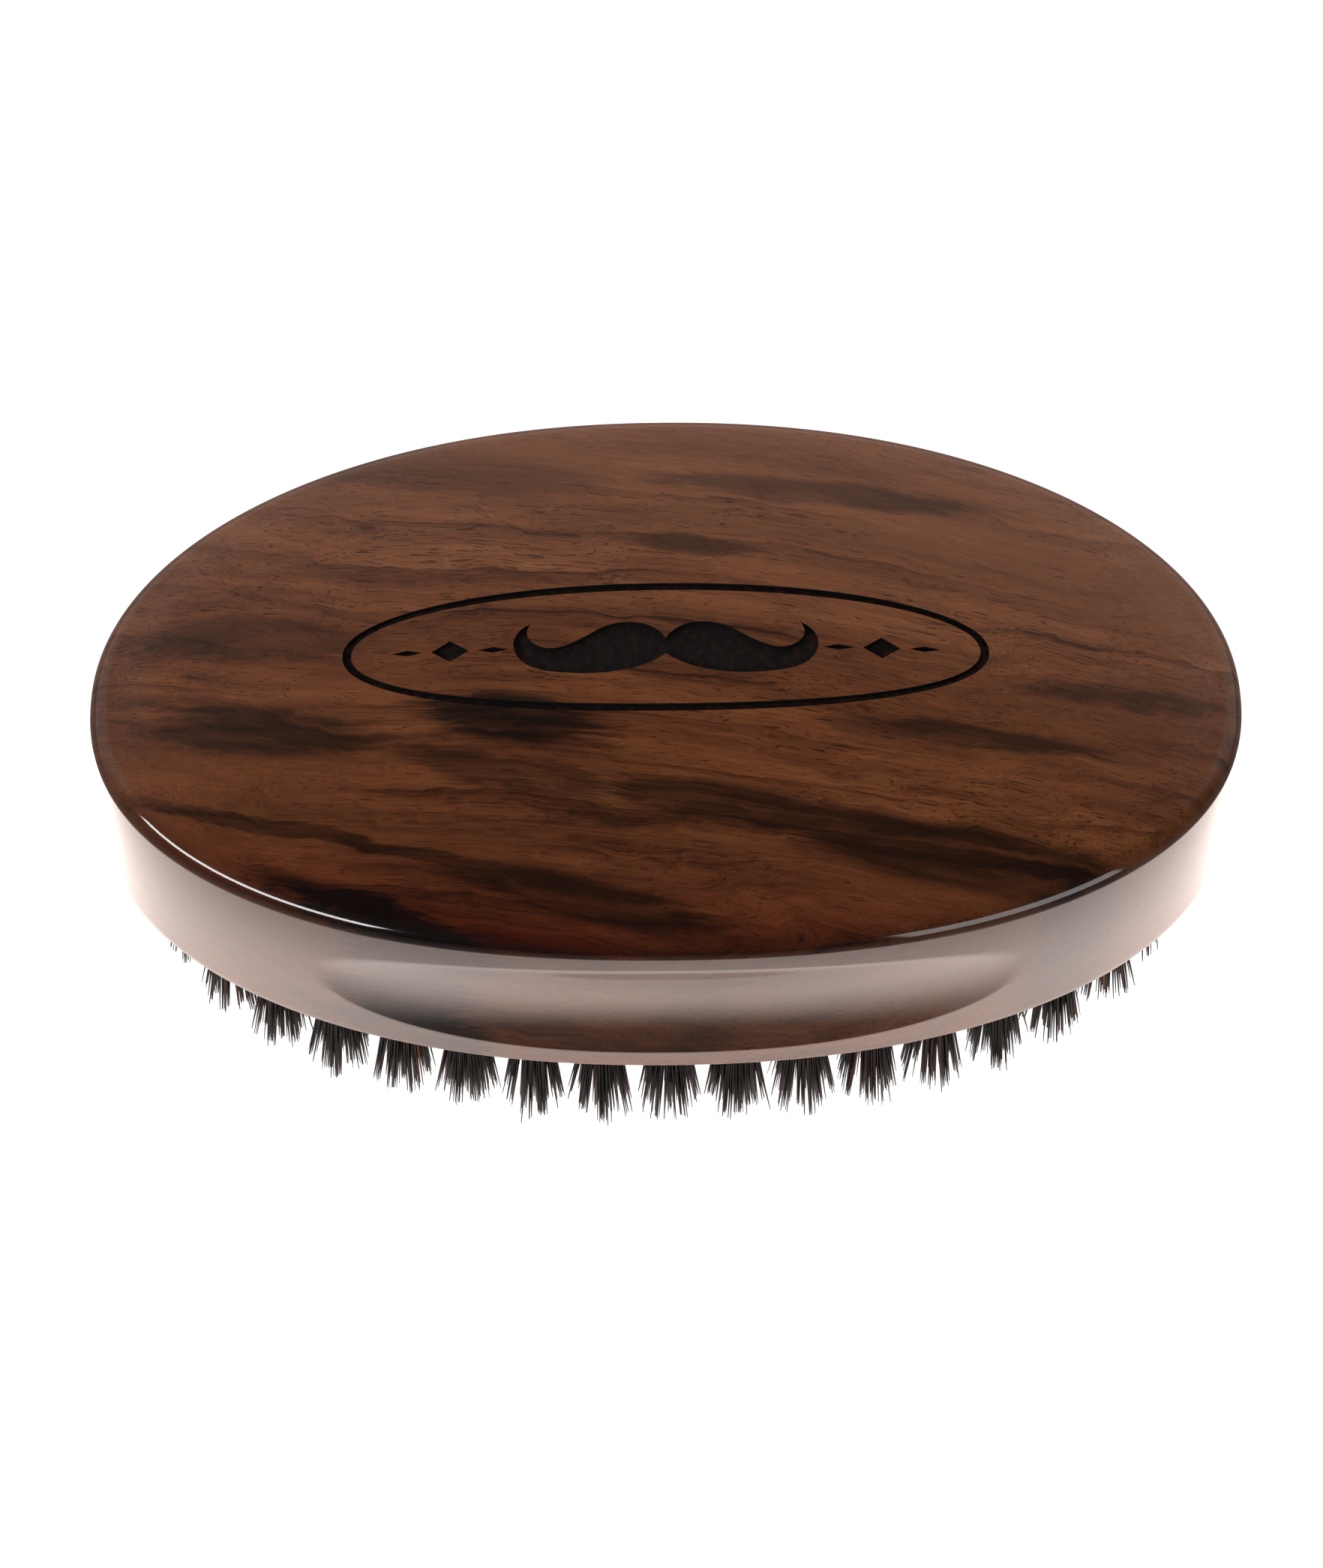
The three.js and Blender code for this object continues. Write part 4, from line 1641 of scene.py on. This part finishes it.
@dataclass(frozen=True)
class Softbox:
    """A soft rectangular light: its power, the middles of its two short sides and their length in metres.

    A mirrored one is a card that only shows in the lacquer. Any other lights the brush and isn't mirrored.
    """

    name: str
    watts: float
    start: tuple[float, float, float]
    end: tuple[float, float, float]
    width: float
    mirrored: bool

    def hang(self, target: Vector) -> None:
        """Adds the light, facing a point.

        Args:
            target: the point in metres.
        """
        start, end = Vector(self.start), Vector(self.end)
        light = bpy.data.lights.new(self.name, "AREA")
        light.shape = "RECTANGLE"
        light.size, light.size_y = (end - start).length, self.width
        light.energy = self.watts
        obj = bpy.data.objects.new(self.name, light)
        place = (start + end) / 2
        along = (end - start).normalized()
        away = place - target
        away = (away - away.dot(along) * along).normalized()
        turn = Matrix((along, away.cross(along), away)).transposed()
        obj.matrix_world = Matrix.LocRotScale(place, turn.to_quaternion(), None)
        obj.visible_camera = False
        obj.visible_glossy = self.mirrored
        obj.visible_diffuse = not self.mirrored
        bpy.context.scene.collection.objects.link(obj)


@dataclass
class Studio:
    """A white floor with a glowing pad under the brush, a key light overhead, two cards, and the camera."""

    floor_size: float = 6.0
    floor_grey: float = 0.2
    # The light pad's glow, in the open and beside the brush, where it is lowered as painted shade, and the
    # floor's glow round the pad.
    pad_glow: float = 2.9
    pad_painted_shade: float = 1.15
    floor_glow: float = 0.1
    floor_seen: float = 1.1
    pad: tuple[float, float] = (0.096, 0.066)
    pad_tint: tuple[float, float, float, float] = (1.0, 0.87, 0.81, 1)
    softboxes: tuple[Softbox, ...] = (
        Softbox("key_softbox", 7.5, (-0.35, 0.05, 0.98), (0.15, 0.05, 0.98), 0.3, False),
        Softbox("left_card", 9.0, (-0.95, 0, 0.5), (-0.5, -0.79, 0.375), 0.12, True),
        Softbox("right_card", 3.0, (0.38, -0.85, 0.19), (0.84, -0.48, 0.19), 0.34, True),
    )
    sky_glow: float = 0.8
    room_glow: float = 0.05
    room_tint: tuple[float, float, float, float] = (0.95, 0.97, 1.0, 1)
    elevation: float = 55.0
    azimuth: float = -0.905
    roll: float = 0.26
    distance: float = 531.0
    # The camera turns round the middle of the block's edge line, and aims a little nearer than that.
    pivot: tuple[float, float, float] = (0, 0, 38.15)
    aim_down: float = 1.123
    aim_left: float = 0.047
    lens: float = 119.53
    sensor_width: float = 36.0

    def floor(self) -> None:
        """Makes the floor: seen directly it is white all over, and the pieces mirror the pad in it."""
        deselect()
        bpy.ops.mesh.primitive_plane_add(size=self.floor_size)
        obj = bpy.context.object
        obj.name = "floor"
        material, tree = start_material("white_acrylic_light_table")
        place = add(tree, "TexCoord").outputs["Object"]
        scale = (1 / self.pad[0], 1 / self.pad[1], 1)
        spread = add(tree, "Mapping", {"Vector": place, "Scale": scale}).outputs[0]
        away = add(tree, "VectorMath", {0: spread}, operation="LENGTH").outputs["Value"]
        # Painted shade: the pad glows less close to the brush, as if the brush shaded it, and the pad ends a
        # little way out.
        shaded = {
            "Value": away,
            "From Min": 0.5,
            "From Max": 0.7,
            "To Min": self.pad_painted_shade,
            "To Max": self.pad_glow,
        }
        open_pad = add(tree, "MapRange", shaded, interpolation_type="SMOOTHSTEP").outputs[0]
        end = {"Value": away, "From Min": 0.7, "From Max": 0.92}
        outside = add(tree, "MapRange", end, interpolation_type="SMOOTHSTEP").outputs[0]
        glow = add(tree, "Mix", {0: outside, 2: open_pad, 3: self.floor_glow}).outputs[0]
        seen = add(tree, "LightPath").outputs["Is Camera Ray"]
        glow = add(tree, "Mix", {0: seen, 2: glow, 3: self.floor_seen}).outputs[0]
        tints = {0: seen, 6: self.pad_tint, 7: (1, 1, 1, 1)}
        surface = {
            "Base Color": (self.floor_grey, self.floor_grey, self.floor_grey, 1),
            "Roughness": 0.9,
            "Specular IOR Level": 0.0,
            "Emission Color": add(tree, "Mix", tints, data_type="RGBA").outputs[2],
            "Emission Strength": glow,
        }
        acrylic = add(tree, "BsdfPrincipled", surface)
        add(tree, "OutputMaterial", {"Surface": acrylic.outputs[0]})
        obj.data.materials.append(material)
        obj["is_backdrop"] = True

    def room(self) -> None:
        """Sets the room's light: wide and soft, low behind the brush, with a white background."""
        world = bpy.context.scene.world or bpy.data.worlds.new("studio")
        bpy.context.scene.world = world
        world.use_nodes = True
        tree = world.node_tree
        tree.nodes.clear()
        # It fades out overhead and towards the front.
        split = add(tree, "SeparateXYZ", {0: add(tree, "TexCoord").outputs["Generated"]}).outputs
        height = {"Value": split["Z"], "From Min": 0.86, "From Max": 0.62}
        low = add(tree, "MapRange", height, interpolation_type="SMOOTHSTEP").outputs[0]
        depth = {"Value": split["Y"], "From Min": 0.05, "From Max": 0.45}
        behind = add(tree, "MapRange", depth, interpolation_type="SMOOTHSTEP").outputs[0]
        sky = add(tree, "Math", {0: low, 1: behind}, operation="MULTIPLY").outputs[0]
        glows = {0: sky, 1: self.sky_glow, 2: self.room_glow}
        glow = add(tree, "Math", glows, operation="MULTIPLY_ADD").outputs[0]
        room = add(tree, "Background", {"Color": self.room_tint, "Strength": glow}).outputs[0]
        white = add(tree, "Background", {"Color": (1, 1, 1, 1), "Strength": 1.0}).outputs[0]
        seen = add(tree, "LightPath").outputs["Is Camera Ray"]
        shown = add(tree, "MixShader", {0: seen, 1: room, 2: white}).outputs[0]
        add(tree, "OutputWorld", {"Surface": shown})

    def camera(self) -> None:
        """Sets the camera up in front of the brush, above it."""
        tilt = math.radians(self.elevation)
        around = math.radians(self.azimuth)
        level = math.cos(tilt)
        back = Vector((math.sin(around) * level, -math.cos(around) * level, math.sin(tilt)))
        data = bpy.data.cameras.new("camera")
        data.lens = self.lens
        data.sensor_width = self.sensor_width
        data.clip_start, data.clip_end = 0.01, 20
        obj = bpy.data.objects.new("camera", data)
        bpy.context.scene.collection.objects.link(obj)
        place = (Vector(self.pivot) + self.distance * back) * MM
        turn = back.to_track_quat("Z", "Y").to_matrix()
        # In the camera's own axes: first the aim, then the roll about the line of sight.
        for degrees, axis in ((-self.aim_down, "X"), (self.aim_left, "Y"), (self.roll, "Z")):
            turn = turn @ Matrix.Rotation(math.radians(degrees), 3, axis)
        obj.matrix_world = Matrix.LocRotScale(place, turn.to_quaternion(), None)
        bpy.context.scene.camera = obj

    def build(self) -> None:
        """Builds the studio."""
        self.camera()
        self.floor()
        for softbox in self.softboxes:
            softbox.hang(Vector((0, 0, self.pivot[2] * MM)))
        self.room()
        bpy.context.scene.view_settings.view_transform = "Standard"


# ---------------------------------------------------------------- the brush


# The block's smoky patches, from the large ones left of the middle to the faint ones at the back; the one on
# the front-left rounded edge is painted shade.
SMOKES = (
    Smoke(-15.7, -6.0, 11, 3.6, 11, 1.0),
    Smoke(-40.5, -6.0, 13, 3.4, 9, 0.85),
    Smoke(-16.0, -12.5, 13, 2.4, 14, 0.8),
    Smoke(6.0, -16.5, 15, 2.8, 10, 0.85),
    Smoke(30.0, -22.5, 20, 4.2, 9, 0.85),
    Smoke(22.0, -19.0, 12, 1.4, 9, 0.8),
    Smoke(-33.0, -19.4, 25, 1.2, 17, 0.85),
    Smoke(-9.0, -27.0, 17, 2.8, 16, 0.85),
    # Painted shade: darkens the front-left rounded edge beside the highlight, where the lacquer mirrors the
    # dark room.
    Smoke(-27.0, -29.0, 17, 2.0, 24, 1.0),
    Smoke(31.0, -8.0, 16, 1.7, 6, 0.75),
    Smoke(46.0, -2.5, 11, 1.5, 5, 0.6),
    Smoke(17.0, 22.5, 20, 2.0, 6, 0.65),
    Smoke(3.0, 15.5, 8, 1.2, 6, 0.6),
    Smoke(-42.0, 5.5, 14, 3.0, 6, 0.55),
    Smoke(-20.0, 25.5, 17, 3.2, 8, 0.35),
)


@dataclass
class BeardBrush:
    """The whole brush."""

    outer_inset: float = 7.8
    row_pitch: float = 8.5
    second_count: int = 28
    third_count: int = 20
    # How far the tips of each closed row stand out, from the outer row to the third.
    splays: tuple[float, float, float] = (1.2, 0.5, 0.2)
    block_grain: WalnutGrain = WalnutGrain(smokes=SMOKES)
    board_grain: WalnutGrain = WalnutGrain(
        deep="#3a2417", dark="#5e3d28", brown="#875b3d", light="#a47650", pale="#c09a75"
    )

    def rows(self, block: HandleBlock) -> list[Row]:
        """Lists the rows of tufts, the two that have separate CAD nodes by those nodes' places.

        Args:
            block: the block, whose outline the closed rows follow.

        Returns:
            The outer, second, third and centre rows.
        """
        outer_nodes = sorted(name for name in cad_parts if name.startswith("outer_tuft_"))
        centre_nodes = sorted(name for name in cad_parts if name.startswith("centre_tuft_"))
        second = block.body.inset(self.outer_inset + self.row_pitch)
        third = second.inset(self.row_pitch)
        outer_splay, second_splay, third_splay = self.splays
        second_places, third_places = second.spaced(self.second_count), third.spaced(self.third_count)
        return [
            Row("outer", self.middles(outer_nodes), True, outer_nodes, outer_splay),
            Row("second", second_places, True, ["second_row_tufts"], second_splay),
            Row("third", third_places, True, ["third_row_tufts"], third_splay),
            Row("centre", self.middles(centre_nodes), False, centre_nodes),
        ]

    @staticmethod
    def middles(nodes: list[str]) -> list[tuple[float, float]]:
        """The middles of CAD nodes, in mm."""
        boxes = [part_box(node) for node in nodes]
        return [((low.x + high.x) / 2 / MM, (low.y + high.y) / 2 / MM) for low, high in boxes]

    def plant(self, rows: list[Row], wires: DrawWires, bristles: Bristles) -> None:
        """Makes every row's wire and tufts.

        Args:
            rows: the rows of tufts.
            wires: the draw wires.
            bristles: the tufts.
        """
        hair, steel = BoarBristle().build(), DrawnWire().build()
        first = 0
        for row in rows:
            wire = wires.build(row, steel)
            places = [(x, y, row.turn(i), row.lean(i)) for i, (x, y) in enumerate(row.points)]
            if len(row.nodes) == 1:
                tufts = bristles.build(f"{row.name}_row_bristles", places, first, hair)
                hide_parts(row.nodes[0])
            else:
                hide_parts(f"{row.name}_draw_wire")
                for i, (place, node) in enumerate(zip(places, row.nodes)):
                    tuft = bristles.build(f"{row.name}_bristles_{i + 1:02d}", [place], first + i, hair)
                    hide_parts(node)
            first += len(places)
            log.info("%s row: %d tufts on their wire", row.name, len(places))

    def build(self) -> None:
        """Builds every piece in order."""
        block = HandleBlock()
        block.build(LacqueredWalnut(self.block_grain).build(), BurntWalnut().build())
        log.info("handle block: shaped and engraved")
        rows = self.rows(block)
        board = BristleBoard(block)
        wires = DrawWires(board.wire_z)
        board.build(rows, wires, OiledWalnut(self.board_grain).build())
        log.info("bristle board: drilled and channelled")
        self.plant(rows, wires, Bristles(block.foot_z, board.wire_z))


def main() -> None:
    """Builds the studio and the brush."""
    logging.basicConfig(level=logging.INFO, format="%(name)s: %(message)s")
    Studio().build()
    BeardBrush().build()
    boxes = {"cad": CAD_BOX, "visual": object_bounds()}
    {name: [list(low), list(high)] for name, (low, high) in boxes.items()}


if __name__ == "__main__":
    main()
